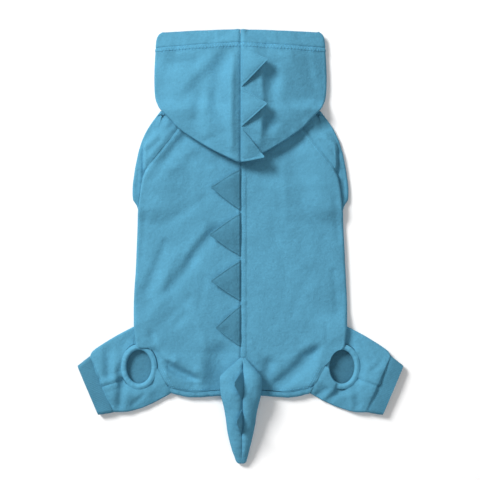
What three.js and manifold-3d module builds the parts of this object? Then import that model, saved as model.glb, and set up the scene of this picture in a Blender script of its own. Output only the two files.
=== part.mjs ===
// A hooded four-legged suit for a small dog, with a row of soft spikes and a stuffed tail.
// It lies flat on its belly, back up. X runs across, +Y points to the face opening, +Z is up.
// Millimetres. The origin is on the floor under the middle of the whole garment.
import * as THREE from 'three';
import { mergeVertices } from 'three/addons/utils/BufferGeometryUtils.js';
import Module from 'manifold-3d';

const wasm = await Module();
wasm.setup();

// Driving sizes
const CLOTH = 2.2;             // wall of the brushed fleece
const SEAM = 0.3;              // space left between two sewn pieces
const TUCK = 5.0;              // height of two layers pressed flat, one on the other
const TUCKED_LIFT = TUCK + 0.7;   // height at which the body rides over a tucked limb
const BODY_FOLD = 7;           // height of the body's side folds
const NECK_Y = 170;            // neck edge of body and sleeves
const HOOD_NECK_Y = 171.8;     // neck edge of the hood, just in front of it
const FACE_Y = 269.8;          // middle of the face edge
const HEM_END = 250.4;         // inner edge of the face opening's turned hem, at the middle
const HEM_SIDE = 245.2;        // and at the sides
const HOOD_TIP_Y = 104.6;      // rear tip of the hood
const OVER_BODY = 12.8;        // height at which the hood lies over the body
const HEM_ROWS = 4;            // rows of the hood's outline that lie in the turned hem
const HEM_RAISE = 0.8;         // second layer of the hem, standing proud
const STRIP = { from: 1.0, to: 6.6, raise: 0.8, front: 104, rear: -136 };   // covered back seam
const HOLE = { x: 126.3, y: -149, rx: 19.2, ry: 24.6, wide: 3.75, high: 3, z: 7.6 };
const CUFF_HEIGHT = 9.6;       // rib cuffs of the hind legs
const BAND_DEPTH = 7.5;        // seat band, from its seam to the rear edge
const CUT_LOW = -5;            // cutting shapes reach from here
const CUT_HIGH = 80;           // to here

// Small helpers
const { smoothstep, lerp, clamp } = THREE.MathUtils;
const plan = (x, y) => new THREE.Vector2(x, y);

// A smooth curve through rows that start with the place and go on with one value or more.
function smoothTable(rows) {
  const sorted = [...rows].sort((a, b) => a[0] - b[0]);
  const last = sorted.length - 1;
  const slope = (k, column) => {
    const before = sorted[Math.max(k - 1, 0)];
    const after = sorted[Math.min(k + 1, last)];
    return (after[column] - before[column]) / (after[0] - before[0]);
  };
  return (place, column = 1) => {
    if (place <= sorted[0][0]) return sorted[0][column];
    if (place >= sorted[last][0]) return sorted[last][column];
    let k = 0;
    while (sorted[k + 1][0] < place) k += 1;
    const span = sorted[k + 1][0] - sorted[k][0];
    const t = (place - sorted[k][0]) / span;
    const start = sorted[k][column];
    const end = sorted[k + 1][column];
    const rise = slope(k, column) * span;
    const leave = slope(k + 1, column) * span;
    return (2 * t ** 3 - 3 * t ** 2 + 1) * start + (t ** 3 - 2 * t ** 2 + t) * rise
      + (3 * t ** 2 - 2 * t ** 3) * end + (t ** 3 - t ** 2) * leave;
  };
}

// Soft troughs and ridges: each row is x, y of one end, x, y of the other, half width, height.
function foldsAt(rows, x, y) {
  let height = 0;
  for (const [ax, ay, bx, by, halfWidth, rise] of rows) {
    const length = Math.hypot(bx - ax, by - ay);
    const along = ((x - ax) * (bx - ax) + (y - ay) * (by - ay)) / length ** 2;
    const near = clamp(along, 0, 1);
    const away = Math.hypot(x - lerp(ax, bx, near), y - lerp(ay, by, near)) / halfWidth;
    height += rise * Math.exp(-away * away);
  }
  return height;
}

// Outlines of the right half; the left half mirrors them
const bodyWidth = smoothTable([[171, 119.5], [105, 119.5], [92.4, 119.5], [79.5, 123.1],
  [65.8, 125.4], [45.6, 127.5], [8, 129.2], [-24, 130.5], [-67, 133], [-99, 132.6],
  [-121, 130.4], [-150, 128], [-190, 126]]);
const bodyCrown = smoothTable([[171, 10.4], [130, 10.8], [95, 12], [0, 12.6], [-100, 13],
  [-150, 12.4], [-172, 10.4], [-190, 8.6]]);
const sideSeam = smoothTable([[171, 104], [0, 114], [-67, 118], [-99, 120], [-121, 122], [-190, 122]]);
const sleeveEdge = smoothTable([[171, 99], [163, 105.2], [153, 112.4], [143, 118], [133, 122.6],
  [123, 126], [113, 128.6], [103, 130.6], [93, 132.4], [83, 133.9], [73, 134.8], [59.4, 134.4],
  [56.1, 132.6], [52, 129.8], [45, 127.5]]);
const raglan = [[56, 175], [60, 171], [77.8, 148.3], [88.8, 133.6], [104.4, 114.4], [115.4, 100.6],
  [119.6, 92.9]];
const underRaglan = smoothTable([[171, 72], [86, 84], [45, 84]]);
const legSeam = [[132.3, -98.8], [86, -181.8]];      // where leg and body meet, front to rear
const lobeEnd = [[130.4, -121.2], [128, -124], [105, -147]];   // body lobe that covers the hole's rim
const legFront = [[126, -95.5], [132.3, -98.8], [157, -111.8], [182, -127.9], [187.6, -136]];
const legRear = [[80, -179], [86, -182.3], [112.5, -196.3], [138, -205], [157.6, -206]];
const cuffEnd = { front: [203, -148], rear: [177, -209.2] };
const rearEdge = smoothTable([[0, -185], [24.4, -185.5], [61, -187.5], [86, -182.5], [95, -178]]);

const bodyFolds = [[-33, 17, -87, -54, 11, -1.6], [-91, -1, -116, -58, 9, -1.3],
  [-66, 139, -106, 102, 9, -1.2], [-37, -136, -36, -161, 9, -1.4], [-102, -139, -46, -166, 9, -1.3],
  [112, -129, 34, -179, 10, -1.5], [27, -148, 28, -173, 6, -0.8], [70, 60, 108, 10, 12, -1.0]];

// How high the underside of the body rides over the tucked sleeves and the legs
function outsideLegSeam(x, y) {
  const [[ax, ay], [bx, by]] = legSeam;
  return ((x - ax) * (ay - by) - (y - ay) * (ax - bx)) / Math.hypot(ax - bx, ay - by);
}
function bodyUnder(signedX, y) {
  const x = Math.abs(signedX);
  const overSleeve = smoothstep(x, 70, 79) * smoothstep(y, 30, 42) * (1 - smoothstep(y, 90, 100));
  const overLeg = smoothstep(outsideLegSeam(x, y), -9, -1.5) * (1 - smoothstep(y, -96, -84))
    * smoothstep(y, -134, -125);
  return TUCKED_LIFT * Math.max(overSleeve, overLeg);
}
// The cloth settles round the bound opening in each thigh. On the left the rim stands proud of
// the body, on the right the body's edge lies over its inner half.
function fromRim(x, y) {
  return Math.hypot((x - HOLE.x) / (HOLE.rx + HOLE.wide), (y - HOLE.y) / (HOLE.ry + HOLE.wide));
}
const OVER_RIM = HOLE.z + HOLE.high + SEAM + CLOTH;
function besideRim(signedX, y) {
  const share = (1 - smoothstep(fromRim(Math.abs(signedX), y), 1.02, 1.6)) * (1 - smoothstep(y, -126, -106));
  return [signedX > 0 ? OVER_RIM : lerp(HOLE.z + 1.7, OVER_RIM, smoothstep(y, -131, -123)), share];
}
// How far the cloth covers the right rim, by the turn round the opening in degrees: the body
// lies over the upper inner part, the leg over the lower inner part
function turnAt(x, y) {
  return (THREE.MathUtils.radToDeg(Math.atan2((y - HOLE.y) / HOLE.ry, (x - HOLE.x) / HOLE.rx)) + 360) % 360;
}
const bodyCover = (turn) => smoothstep(turn, 70, 86) * (1 - smoothstep(turn, 200, 220));
const legCover = (turn) => smoothstep(turn, 174, 182) * (1 - smoothstep(turn, 243, 257));
function bodyTop(signedX, y) {
  const x = Math.abs(signedX);
  const width = bodyWidth(y);
  const across = Math.min(x / width, 1);
  const overSleeve = smoothstep(x, 62, 108) * smoothstep(y, 26, 52);
  const overLeg = smoothstep(outsideLegSeam(x, y), -45, 0) * (1 - smoothstep(y, -96, -70))
    * smoothstep(y, -182, -150);
  const lift = TUCKED_LIFT * Math.max(overSleeve * (1 - 0.35 * smoothstep(y, 100, 150)), overLeg);
  const crown = (bodyCrown(y) - BODY_FOLD) * (1 - across ** 2.2);
  const top = BODY_FOLD + lift + crown + foldsAt(bodyFolds, signedX, y) * (1 - across ** 8);
  return lerp(top, ...besideRim(signedX, y));
}

// Hood outline: middle y on the crown, edge x and y, end x, y and z of the layer below.
// That layer lies on the floor to the throat, turns round the neck, then lies over the body.
const hoodRows = [
  [FACE_Y, 98.2, 267, 0, 267.4, 0], [266.6, 101.9, 264.2, 0, 264.2, 0], [262, 104.2, 259.5, 0, 259, 0],
  [HEM_END, 105.9, HEM_SIDE, 0, HEM_END, 0], [HEM_END - 0.8, 106, HEM_SIDE - 0.8, 0, HEM_END - 0.8, 0],
  [236, 106.7, 233, 0, 236, 0], [222, 107.3, 221, 0, 222, 0], [206, 107.5, 209, 0, 208, 0],
  [190, 107.2, 195, 0, 190, 0], [179, 106.4, 187, 0, HOOD_NECK_Y, 0], [173, 105.4, 182.5, 48, HOOD_NECK_Y, 0],
  [167, 103.2, 177.5, 84, HOOD_NECK_Y, 0], [163, 101.4, 173.6, 92, HOOD_NECK_Y, OVER_BODY / 2],
  [158, 98.6, 169.6, 84, HOOD_NECK_Y, OVER_BODY], [152, 92.6, 163.4, 48, HOOD_NECK_Y, OVER_BODY],
  [146, 86.6, 157.6, 0, HOOD_NECK_Y, OVER_BODY], [141, 79, 149, 0, 158, OVER_BODY],
  [134, 64, 137.8, 0, 146, 13.4], [127, 46, 126.2, 0, 134, 15], [119, 27, 115.8, 0, 124, 17.4],
  [114.5, 13, 109.2, 0, 117, 19.4], [112.5, 5.2, 105.8, 0, 114, 20.2], [111.5, 0, HOOD_TIP_Y, 0, 112, 20.4]];
const hoodRidge = smoothTable([[270, 17], [250, 23], [225, 28.5], [195, 31.5], [160, 32], [135, 30.5],
  [115, 27.6], [104, 26.4]]);
const hoodWidth = smoothTable([[270, 103], [259, 104.2], [245, 106], [209, 107.5], [180, 105],
  [169, 98.6], [158, 87], [149, 79], [138, 64], [126, 46], [116, 27], [109, 13], [104.6, 5]]);
const hoodLift = smoothTable([[270, 0], [190, 0], [183, 1], [178, 5], [173, 10.5], [169, OVER_BODY],
  [150, OVER_BODY], [137, 13.6], [126, 15.2], [115, 18], [104, 20.6]]);
const hoodUnder = (y) => Math.max(hoodLift(y), 0);
const hoodFolds = [[-6, 248, -62, 190, 10, -2.2], [-72, 208, -78, 200, 12, 1.4], [-50, 205, -54, 150, 9, -1.6],
  [9, 267, 34, 249, 7, -1.4], [36, 214, 36, 216, 8, -2.4], [34, 152, 34, 153, 8, -2.4],
  [16, 240, 22, 130, 9, 1.6], [-12, 235, -10, 125, 7, 1.4]];
function hoodTop(signedX, y) {
  const x = Math.abs(signedX);
  const across = Math.min(x / hoodWidth(y), 1);
  const edge = hoodUnder(y) + 7;
  const low = edge + (hoodRidge(y) - edge) * (1 - across ** 1.7);
  return low + foldsAt(hoodFolds, signedX, y) * (1 - across ** 6);
}

// Closed meshes from grids of points
function meshOf(points, faces) {
  const geometry = new THREE.BufferGeometry();
  const numbers = points.flatMap((p) => [p.x, p.y, p.z]);
  geometry.setAttribute('position', new THREE.Float32BufferAttribute(numbers, 3));
  geometry.setIndex(faces.flat());
  const merged = mergeVertices(geometry, 1e-4);
  const index = merged.getIndex();
  const kept = [];
  let volume = 0;
  const corner = [0, 1, 2].map(() => new THREE.Vector3());
  for (let k = 0; k < index.count; k += 3) {
    const ids = [index.getX(k), index.getX(k + 1), index.getX(k + 2)];
    if (ids[0] === ids[1] || ids[1] === ids[2] || ids[0] === ids[2]) continue;
    ids.forEach((id, n) => corner[n].fromBufferAttribute(merged.getAttribute('position'), id));
    volume += corner[0].dot(corner[1].clone().cross(corner[2]));
    kept.push(ids);
  }
  merged.setIndex((volume < 0 ? kept.map(([a, b, c]) => [a, c, b]) : kept).flat());
  return merged;
}

// Two matching grids, outside and inside, joined round their rims. A ring closes on itself.
function shell(outside, inside, ring = false) {
  const rows = outside.length;
  const columns = outside[0].length;
  const points = [...outside.flat(), ...inside.flat()];
  const inner = rows * columns;
  const at = (j, i) => j * columns + (i % columns);
  const faces = [];
  const quad = (a, b, c, d) => faces.push([a, b, c], [a, c, d]);
  const steps = ring ? columns : columns - 1;
  for (let j = 0; j < rows - 1; j += 1) {
    for (let i = 0; i < steps; i += 1) {
      quad(at(j, i), at(j + 1, i), at(j + 1, i + 1), at(j, i + 1));
      quad(inner + at(j, i), inner + at(j, i + 1), inner + at(j + 1, i + 1), inner + at(j + 1, i));
    }
  }
  for (let i = 0; i < steps; i += 1) {
    quad(at(0, i), at(0, i + 1), inner + at(0, i + 1), inner + at(0, i));
    quad(at(rows - 1, i + 1), at(rows - 1, i), inner + at(rows - 1, i), inner + at(rows - 1, i + 1));
  }
  if (!ring) {
    for (let j = 0; j < rows - 1; j += 1) {
      quad(at(j + 1, 0), at(j, 0), inner + at(j, 0), inner + at(j + 1, 0));
      quad(at(j, columns - 1), at(j + 1, columns - 1), inner + at(j + 1, columns - 1),
        inner + at(j, columns - 1));
    }
  }
  return meshOf(points, faces);
}

// The inside of a cloth wall: each outside point moved in along the surface's own direction.
function insideOf(outside, wall, outward, ring = false) {
  const rows = outside.length;
  const columns = outside[0].length;
  return outside.map((row, j) => row.map((point, i) => {
    const before = ring ? row[(i + columns - 1) % columns] : row[Math.max(i - 1, 0)];
    const after = ring ? row[(i + 1) % columns] : row[Math.min(i + 1, columns - 1)];
    const across = after.clone().sub(before);
    const along = outside[Math.min(j + 1, rows - 1)][i].clone().sub(outside[Math.max(j - 1, 0)][i]);
    const normal = along.cross(across).multiplyScalar(outward);
    if (Math.abs(point.x) < SEAM) normal.x = 0;
    return point.clone().addScaledVector(normal.normalize(), -wall);
  }));
}

// One cross-section of a flattened bag: over the top to the edge, round the fold, back below.
function bagSection({ middle, edge, end, topAt, underAt, counts, radius }) {
  const out = edge.clone().sub(middle).normalize();
  const bend = edge.clone().addScaledVector(out, -radius);
  const points = [];
  for (let k = 0; k < counts.top; k += 1) {
    const spot = middle.clone().lerp(bend, k / counts.top);
    points.push(new THREE.Vector3(spot.x, spot.y, topAt(spot.x, spot.y)));
  }
  const high = topAt(bend.x, bend.y);
  const low = underAt(bend.x, bend.y, 0);
  for (let k = 0; k <= counts.bend; k += 1) {
    const angle = Math.PI * (0.5 - k / counts.bend);
    const spot = bend.clone().addScaledVector(out, radius * Math.cos(angle));
    points.push(new THREE.Vector3(spot.x, spot.y, (high + low) / 2 + ((high - low) / 2) * Math.sin(angle)));
  }
  for (let k = 1; k <= counts.under; k += 1) {
    const spot = bend.clone().lerp(end, k / counts.under);
    points.push(new THREE.Vector3(spot.x, spot.y, underAt(spot.x, spot.y, k / counts.under)));
  }
  return points;
}

// Solids for cutting
function solidOf(geometry) {
  const plain = geometry.index ? geometry : mergeVertices(geometry, 1e-4);
  return new wasm.Manifold(new wasm.Mesh({
    numProp: 3,
    vertProperties: new Float32Array(plain.getAttribute('position').array),
    triVerts: new Uint32Array(plain.getIndex().array),
  }));
}
function geometryOf(solid) {
  const mesh = solid.getMesh();
  const geometry = new THREE.BufferGeometry();
  geometry.setAttribute('position', new THREE.BufferAttribute(new Float32Array(mesh.vertProperties), 3));
  geometry.setIndex(new THREE.BufferAttribute(new Uint32Array(mesh.triVerts), 1));
  return geometry;
}
// An upright prism over an outline, as a cutting shape.
function prism(outline, low = CUT_LOW, high = CUT_HIGH) {
  const shape = new THREE.Shape(outline.map(([x, y]) => plan(x, y)));
  const geometry = new THREE.ExtrudeGeometry(shape, { depth: high - low, bevelEnabled: false });
  geometry.deleteAttribute('normal');
  geometry.deleteAttribute('uv');
  geometry.translate(0, 0, low);
  return solidOf(mergeVertices(geometry, 1e-4));
}
const mirrored = (outline) => outline.map(([x, y]) => [-x, y]).reverse();
const forSide = (outline, sign) => (sign > 0 ? outline : mirrored(outline));
const shifted = (outline, dx, dy) => outline.map(([x, y]) => [x + dx, y + dy]);
function ovalOutline(rx, ry, steps = 28) {
  return Array.from({ length: steps }, (_, k) => {
    const angle = (2 * Math.PI * k) / steps;
    return [HOLE.x + rx * Math.cos(angle), HOLE.y + ry * Math.sin(angle)];
  });
}
// The largest body that is left when a cut also frees small scraps.
function largestOf(solid) {
  return solid.decompose().reduce((best, next) => (next.volume() > best.volume() ? next : best));
}
function cut(geometry, ...cutters) {
  return geometryOf(largestOf(cutters.reduce((solid, cutter) => solid.subtract(cutter), solidOf(geometry))));
}
function mirror(geometry) {
  const other = geometry.clone();
  const place = other.getAttribute('position');
  for (let k = 0; k < place.count; k += 1) place.setX(k, -place.getX(k));
  const index = other.getIndex();
  for (let k = 0; k < index.count; k += 3) {
    const second = index.getX(k + 1);
    index.setX(k + 1, index.getX(k + 2));
    index.setX(k + 2, second);
  }
  return other;
}

// Zones that the seams bound, seen from above, for the right half
const HALF_SEAM = SEAM / 2;
const FAR = 260;
const sleeveZone = [...shifted(raglan, -HALF_SEAM, -HALF_SEAM), [FAR, 92.9 - HALF_SEAM], [FAR, 175]];
const armholeZone = [[0, 180], [0, 86], [119.2, 86], ...shifted(raglan, HALF_SEAM, HALF_SEAM).reverse()];
const seamRun = 40 / (legSeam[0][1] - legSeam[1][1]);
const seamStart = [legSeam[0][0] + 46.3 * seamRun, legSeam[0][1] + 40];
const seamFinish = [legSeam[1][0] - 46.3 * seamRun, legSeam[1][1] - 40];
const legZone = [seamStart, [FAR, seamStart[1]], [FAR, seamFinish[1]], seamFinish];
const bodyEndZone = [[FAR, -121.2], ...lobeEnd, ...shifted([legSeam[1], seamFinish], -HALF_SEAM, 0),
  [FAR, seamFinish[1]]];
const bandPlaces = Array.from({ length: 17 }, (_, k) => lerp(-96, 96, k / 16));
const bandSeam = bandPlaces.map((x) => [x, rearEdge(Math.abs(x)) + BAND_DEPTH]);
const ringPass = ovalOutline(HOLE.rx + HOLE.wide + 0.6, HOLE.ry + HOLE.wide + 0.6);
// The left rim shows whole; on the right the cloth covers the inner half of the tube
const below = (outline, y) => outline.filter((point) => point[1] < y);
const leftRimZone = below(ovalOutline(HOLE.rx + HOLE.wide + SEAM, HOLE.ry + HOLE.wide + SEAM, 44), -124);
function coveredOutline(cover, steps = 44) {
  return Array.from({ length: steps }, (_, k) => {
    const turn = (2 * Math.PI * k) / steps;
    const beyond = lerp(HOLE.wide + SEAM, 1 - HOLE.wide, cover(THREE.MathUtils.radToDeg(turn)));
    return [HOLE.x + (HOLE.rx + beyond) * Math.cos(turn), HOLE.y + (HOLE.ry + beyond) * Math.sin(turn)];
  });
}
const rearZone = [...shifted(bandSeam, 0, HALF_SEAM), [FAR, -170], [FAR, -260], [-FAR, -260], [-FAR, -170]];

// Back panels
function backPanel(sign) {
  const stations = [NECK_Y, 156, 142, 128, 114, 104, 96, 90, 80, 68, 52, 42, 24, 2, -20, -42, -64, -84, -98,
    -108, -116, -123, -136, -152, -166, -178, -190];
  const columns = [SEAM / 2, STRIP.from, STRIP.from + 0.4, STRIP.to - 0.4, STRIP.to, 24, 44, 64, 84, 104];
  const outside = stations.map((y) => {
    const width = bodyWidth(y);
    const radius = (bodyTop(sign * width, y) - bodyUnder(sign * width, y)) / 2;
    const bend = width - radius;
    const tops = [...columns, (104 + bend) / 2];
    const section = tops.map((x) => new THREE.Vector3(sign * x, y, bodyTop(x * sign, y)));
    const fold = bagSection({
      middle: plan(0, y), edge: plan(sign * width, y), end: plan(sign * (sideSeam(y) + SEAM), y),
      topAt: bodyTop, underAt: bodyUnder, counts: { top: 1, bend: 5, under: 2 }, radius,
    });
    return [...section, ...fold.slice(1)];
  });
  const inside = insideOf(outside, CLOTH, sign);
  if (sign > 0) {
    stations.forEach((y, j) => {
      if (y > STRIP.front || y < STRIP.rear) return;
      outside[j][2].z += STRIP.raise;
      outside[j][3].z += STRIP.raise;
    });
  }
  return cut(
    shell(outside, inside),
    prism(forSide(sleeveZone, sign)),
    prism(forSide([[0, 200], [0, 90], [FAR, 90], [FAR, 200]], sign), CUT_LOW, TUCKED_LIFT + 1.2),
    prism(forSide(bodyEndZone, sign)),
    prism(forSide(ringPass, sign), CUT_LOW, HOLE.z + HOLE.high + SEAM),
    prism(forSide(sign < 0 ? leftRimZone : coveredOutline(bodyCover), sign)),
    prism(forSide(rearZone, sign)),
  );
}

// Belly panel, the flat underside
function bellyPanel() {
  const stations = [NECK_Y, 150, 125, 104, 98, 92, 86, 66, 46, 40, 34, 0, -40, -80, -96, -108, -116, -124,
    -140, -160, -184];
  const shares = [-1, -0.88, -0.76, -0.65, -0.3, 0, 0.3, 0.65, 0.76, 0.88, 1];
  const outside = stations.map((y) => shares.map((share) => {
    const x = share * (sideSeam(y) - 4 * SEAM);
    return new THREE.Vector3(x, y, bodyUnder(x, y));
  }));
  const inside = outside.map((row) => row.map((p) => new THREE.Vector3(p.x, p.y, p.z + CLOTH)));
  const sleeveFloor = [[underRaglan(87) - SEAM, 86.5], [underRaglan(171) - SEAM, 175], [FAR, 175], [FAR, 86.5]];
  const zones = [1, -1].flatMap((sign) => [
    prism(forSide(sleeveFloor, sign)),
    prism(forSide(shifted(legZone, -HALF_SEAM, 0), sign)),
  ]);
  const rims = [1, -1].map((sign) => prism(forSide(ringPass, sign), CLOTH + 0.2, CUT_HIGH));
  return cut(shell(outside, inside), prism(rearZone), ...zones, ...rims);
}

// Seat band, folded round the rear edge
function seatBand() {
  const outside = bandPlaces.map((x) => {
    const edge = rearEdge(Math.abs(x));
    const start = edge + BAND_DEPTH - 2 * SEAM;
    return bagSection({
      middle: plan(x, start), edge: plan(x, edge), end: plan(x, start),
      topAt: bodyTop, underAt: () => 0, counts: { top: 2, bend: 6, under: 2 },
      radius: 4,
    });
  });
  const zones = [1, -1].map((sign) => prism(forSide(shifted(legZone, -HALF_SEAM, 0), sign)));
  return cut(shell(outside, insideOf(outside, CLOTH, -1)), ...zones);
}

// Closed ring of a flattened tube between two edge points, top heights from a function of the share.
function flatRing(from, to, topAt, counts, floorAt = () => 0) {
  const out = to.clone().sub(from).normalize();
  const length = to.distanceTo(from);
  const points = [];
  const bend = (centre, high, low, radius, direction) => {
    for (let k = 1; k < counts.bend; k += 1) {
      const angle = Math.PI * (0.5 - k / counts.bend);
      const spot = centre.clone().addScaledVector(out, direction * radius * Math.cos(angle));
      const z = (high + low) / 2 + direction * ((high - low) / 2) * Math.sin(angle);
      points.push(new THREE.Vector3(spot.x, spot.y, z));
    }
  };
  const radiusAt = (share) => Math.min((topAt(share) - floorAt(share)) / 2, 5);
  const first = radiusAt(0);
  const last = radiusAt(1);
  const start = from.clone().addScaledVector(out, first);
  const finish = to.clone().addScaledVector(out, -last);
  const share = (spot) => spot.distanceTo(from) / length;
  for (let k = 0; k <= counts.top; k += 1) {
    const spot = start.clone().lerp(finish, k / counts.top);
    points.push(new THREE.Vector3(spot.x, spot.y, topAt(share(spot))));
  }
  bend(finish, topAt(share(finish)), floorAt(1), last, 1);
  for (let k = 0; k <= counts.under; k += 1) {
    const spot = finish.clone().lerp(start, k / counts.under);
    points.push(new THREE.Vector3(spot.x, spot.y, floorAt(share(spot))));
  }
  bend(start, topAt(share(start)), floorAt(0), first, -1);
  return points;
}

// Sleeves, folded back under the body with a lobe showing outside the crease
const CREASE_X = 119.5;
function sleeveTop(x, y) {
  const sharp = 1 - smoothstep(y, 124, 142);
  const near = lerp(100, CREASE_X - 1.5, sharp);
  const far = lerp(sleeveEdge(y) - 1, CREASE_X + 2.5, sharp);
  const cap = (1 - smoothstep(x, near, far)) * smoothstep(y, 91.5, 97);
  const lobe = TUCK + 1.3 * smoothstep(x, CREASE_X + 1, CREASE_X + 6);
  return lerp(lobe, Math.max(bodyTop(x, y), lobe), cap);
}
function sleeve() {
  const stations = [NECK_Y, 158, 146, 135, 124, 110, 99, 95, 91, 84, 68, 58, 52, 45];
  const outside = stations.map((y) => {
    const from = plan(underRaglan(y), y);
    const to = plan(sleeveEdge(y), y);
    const topAt = (share) => sleeveTop(lerp(from.x, to.x, share), y);
    return flatRing(from, to, topAt, { top: 10, bend: 4, under: 2 });
  });
  const overlap = [[0, 95], [0, 40], [128.6, 40], [126, 66], [123.7, 80], [120.2, 93.2]];
  return cut(
    shell(outside, insideOf(outside, CLOTH, 1, true), true),
    prism(armholeZone, CLOTH + 0.2, CUT_HIGH),
    prism(overlap, TUCK + 0.1, CUT_HIGH),
  );
}

// Hind legs: a flattened tube cut along its length into a front and a rear panel
const legHeight = smoothTable([[0, 6.2], [0.25, 6.6], [0.5, 8], [0.75, 8.2], [1, 4.4]]);
function legRings(counts, sign) {
  const front = new THREE.SplineCurve(legFront.map(([x, y]) => plan(x, y)));
  const rear = new THREE.SplineCurve(legRear.map(([x, y]) => plan(x, y)));
  const stations = [0, 0.25, 0.36, 0.48, 0.6, 0.72, 0.84, 0.93, 1];
  return stations.map((u) => {
    const low = lerp(TUCK, 8.4, smoothstep(u, 0.6, 0.95));
    const topAt = (v) => {
      const rise = Math.max(Math.sin(Math.PI * clamp(v, 0, 1)), 0) ** 0.8;
      const clear = lerp(smoothstep(u, 0.3, 0.7), 1, smoothstep(v, 0.24, 0.5));
      const gather = u > 0.6 ? 0.7 * Math.sin(v * Math.PI * 9) * smoothstep(u, 0.6, 0.9) : 0;
      const own = low + rise * legHeight(u) * clear * lerp(1, 0.35, smoothstep(u, 0.85, 1)) + gather * rise;
      const { x, y } = front.getPoint(u).lerp(rear.getPoint(u), clamp(v, 0, 1));
      const outOfLobe = 1 - smoothstep(y, -134, -124);
      const atRim = (1 - smoothstep(fromRim(x, y), 1, 1.4)) * outOfLobe;
      const atSeam = (1 - smoothstep(outsideLegSeam(x, y), 0, 14)) * outOfLobe;
      const beside = lerp(HOLE.z + 1.2, OVER_RIM, sign > 0 ? legCover(turnAt(x, y)) : 0);
      return lerp(lerp(own, beside, atRim), bodyTop(sign * x, y), atSeam);
    };
    return flatRing(front.getPoint(u), rear.getPoint(u), topAt, counts);
  });
}
const legSplit = [[90, -142], [150, -165.5], [172, -173], [214, -187]];
const lowSplit = [[80, -176], [126, -190], [172, -197], [214, -203]];   // in the layer below
const BETWEEN_LAYERS = 2.5;    // height between a flattened leg's two layers
function legPanel(which, sign) {
  const outside = legRings({ top: 12, bend: 4, under: 3 }, sign);
  const shiftY = which === 'front' ? HALF_SEAM : -HALF_SEAM;
  const line = shifted(legSplit, 0, shiftY);
  const lowLine = shifted(lowSplit, 0, shiftY);
  const away = which === 'front' ? [[214, -260], [90, -260]] : [[214, -60], [90, -60]];
  const rim = ovalOutline(HOLE.rx + HOLE.wide + SEAM, HOLE.ry + HOLE.wide + SEAM);
  const bodySide = [seamStart, seamFinish, [0, seamFinish[1]], [0, seamStart[1]]];
  return cut(
    shell(outside, insideOf(outside, CLOTH, -1, true), true),
    prism([...line, ...away], BETWEEN_LAYERS, CUT_HIGH),
    prism([...lowLine, ...away], CUT_LOW, BETWEEN_LAYERS),
    prism(shifted(bodySide, HALF_SEAM, 0)),
    prism(rim, CLOTH + 0.2, HOLE.z + HOLE.high + SEAM),
    prism(sign < 0 ? rim : coveredOutline(legCover), CLOTH + 0.2, CUT_HIGH),
    prism([[60, -80], [60, -121.6], [133.4, -121.6], [133.6, -80]], TUCK + 0.1, CUT_HIGH),
  );
}

// Rib cuffs at the hind legs
function cuff() {
  const front = plan(...legFront.at(-1));
  const rear = plan(...legRear.at(-1));
  const line = rear.clone().sub(front).normalize();
  const away = plan(-line.y, line.x);
  if (away.x < 0) away.negate();
  const gap = away.clone().multiplyScalar(2 * SEAM);
  const topAt = (v) => CUFF_HEIGHT + 0.6 * Math.sin(Math.PI * clamp(v, 0, 1));
  const rings = [0, 0.5, 1].map((t) => flatRing(
    front.clone().add(gap).lerp(plan(...cuffEnd.front), t),
    rear.clone().add(gap).lerp(plan(...cuffEnd.rear), t),
    topAt,
    { top: 9, bend: 5, under: 4 },
  ));
  return shell(rings, insideOf(rings, CLOTH, -1, true), true);
}

// Bound rim of the opening in each thigh: an oval ring with a rounded section
function thighRim() {
  const rings = Array.from({ length: 25 }, (_, k) => {
    const turn = (2 * Math.PI * k) / 24;
    const across = plan(Math.cos(turn), Math.sin(turn));
    return Array.from({ length: 8 }, (_unused, n) => {
      const round = (2 * Math.PI * n) / 8;
      const wide = HOLE.wide * Math.cos(round);
      return new THREE.Vector3(
        HOLE.x + (HOLE.rx + wide) * across.x,
        HOLE.y + (HOLE.ry + wide) * across.y,
        HOLE.z + HOLE.high * Math.sin(round),
      );
    });
  });
  const points = rings.slice(0, -1).flat();
  const faces = [];
  const count = points.length;
  for (let j = 0; j < 24; j += 1) {
    for (let n = 0; n < 8; n += 1) {
      const a = j * 8 + n;
      const b = j * 8 + ((n + 1) % 8);
      const c = (a + 8) % count;
      const d = (b + 8) % count;
      faces.push([a, c, d], [a, d, b]);
    }
  }
  return meshOf(points, faces);
}

// Hood: each half runs over the crown, round the side and back below
function hoodPanel(sign) {
  const counts = { top: 9, bend: 5, under: 4 };
  const underAt = (row) => (x, y, share) => lerp(hoodUnder(row[2]), row[5], share);
  const outside = hoodRows.map((row) => {
    const [middleY, edgeX, edgeY, endX, endY] = row;
    const seamX = SEAM / 2;
    const side = (x, y) => plan(sign * Math.max(x, seamX), y);
    const height = hoodTop(edgeX, edgeY) - hoodUnder(edgeY);
    return bagSection({
      middle: side(0, middleY), edge: side(edgeX, edgeY), end: side(endX, endY),
      topAt: hoodTop, underAt: underAt(row), counts,
      radius: Math.min(height / 2, 4),
    });
  });
  const inside = insideOf(outside, CLOTH, sign);
  for (const row of outside.slice(0, HEM_ROWS)) {
    row.forEach((point, i) => {
      if (i < counts.top + 2) point.z += HEM_RAISE;
    });
  }
  return shell(outside, inside);
}

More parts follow.
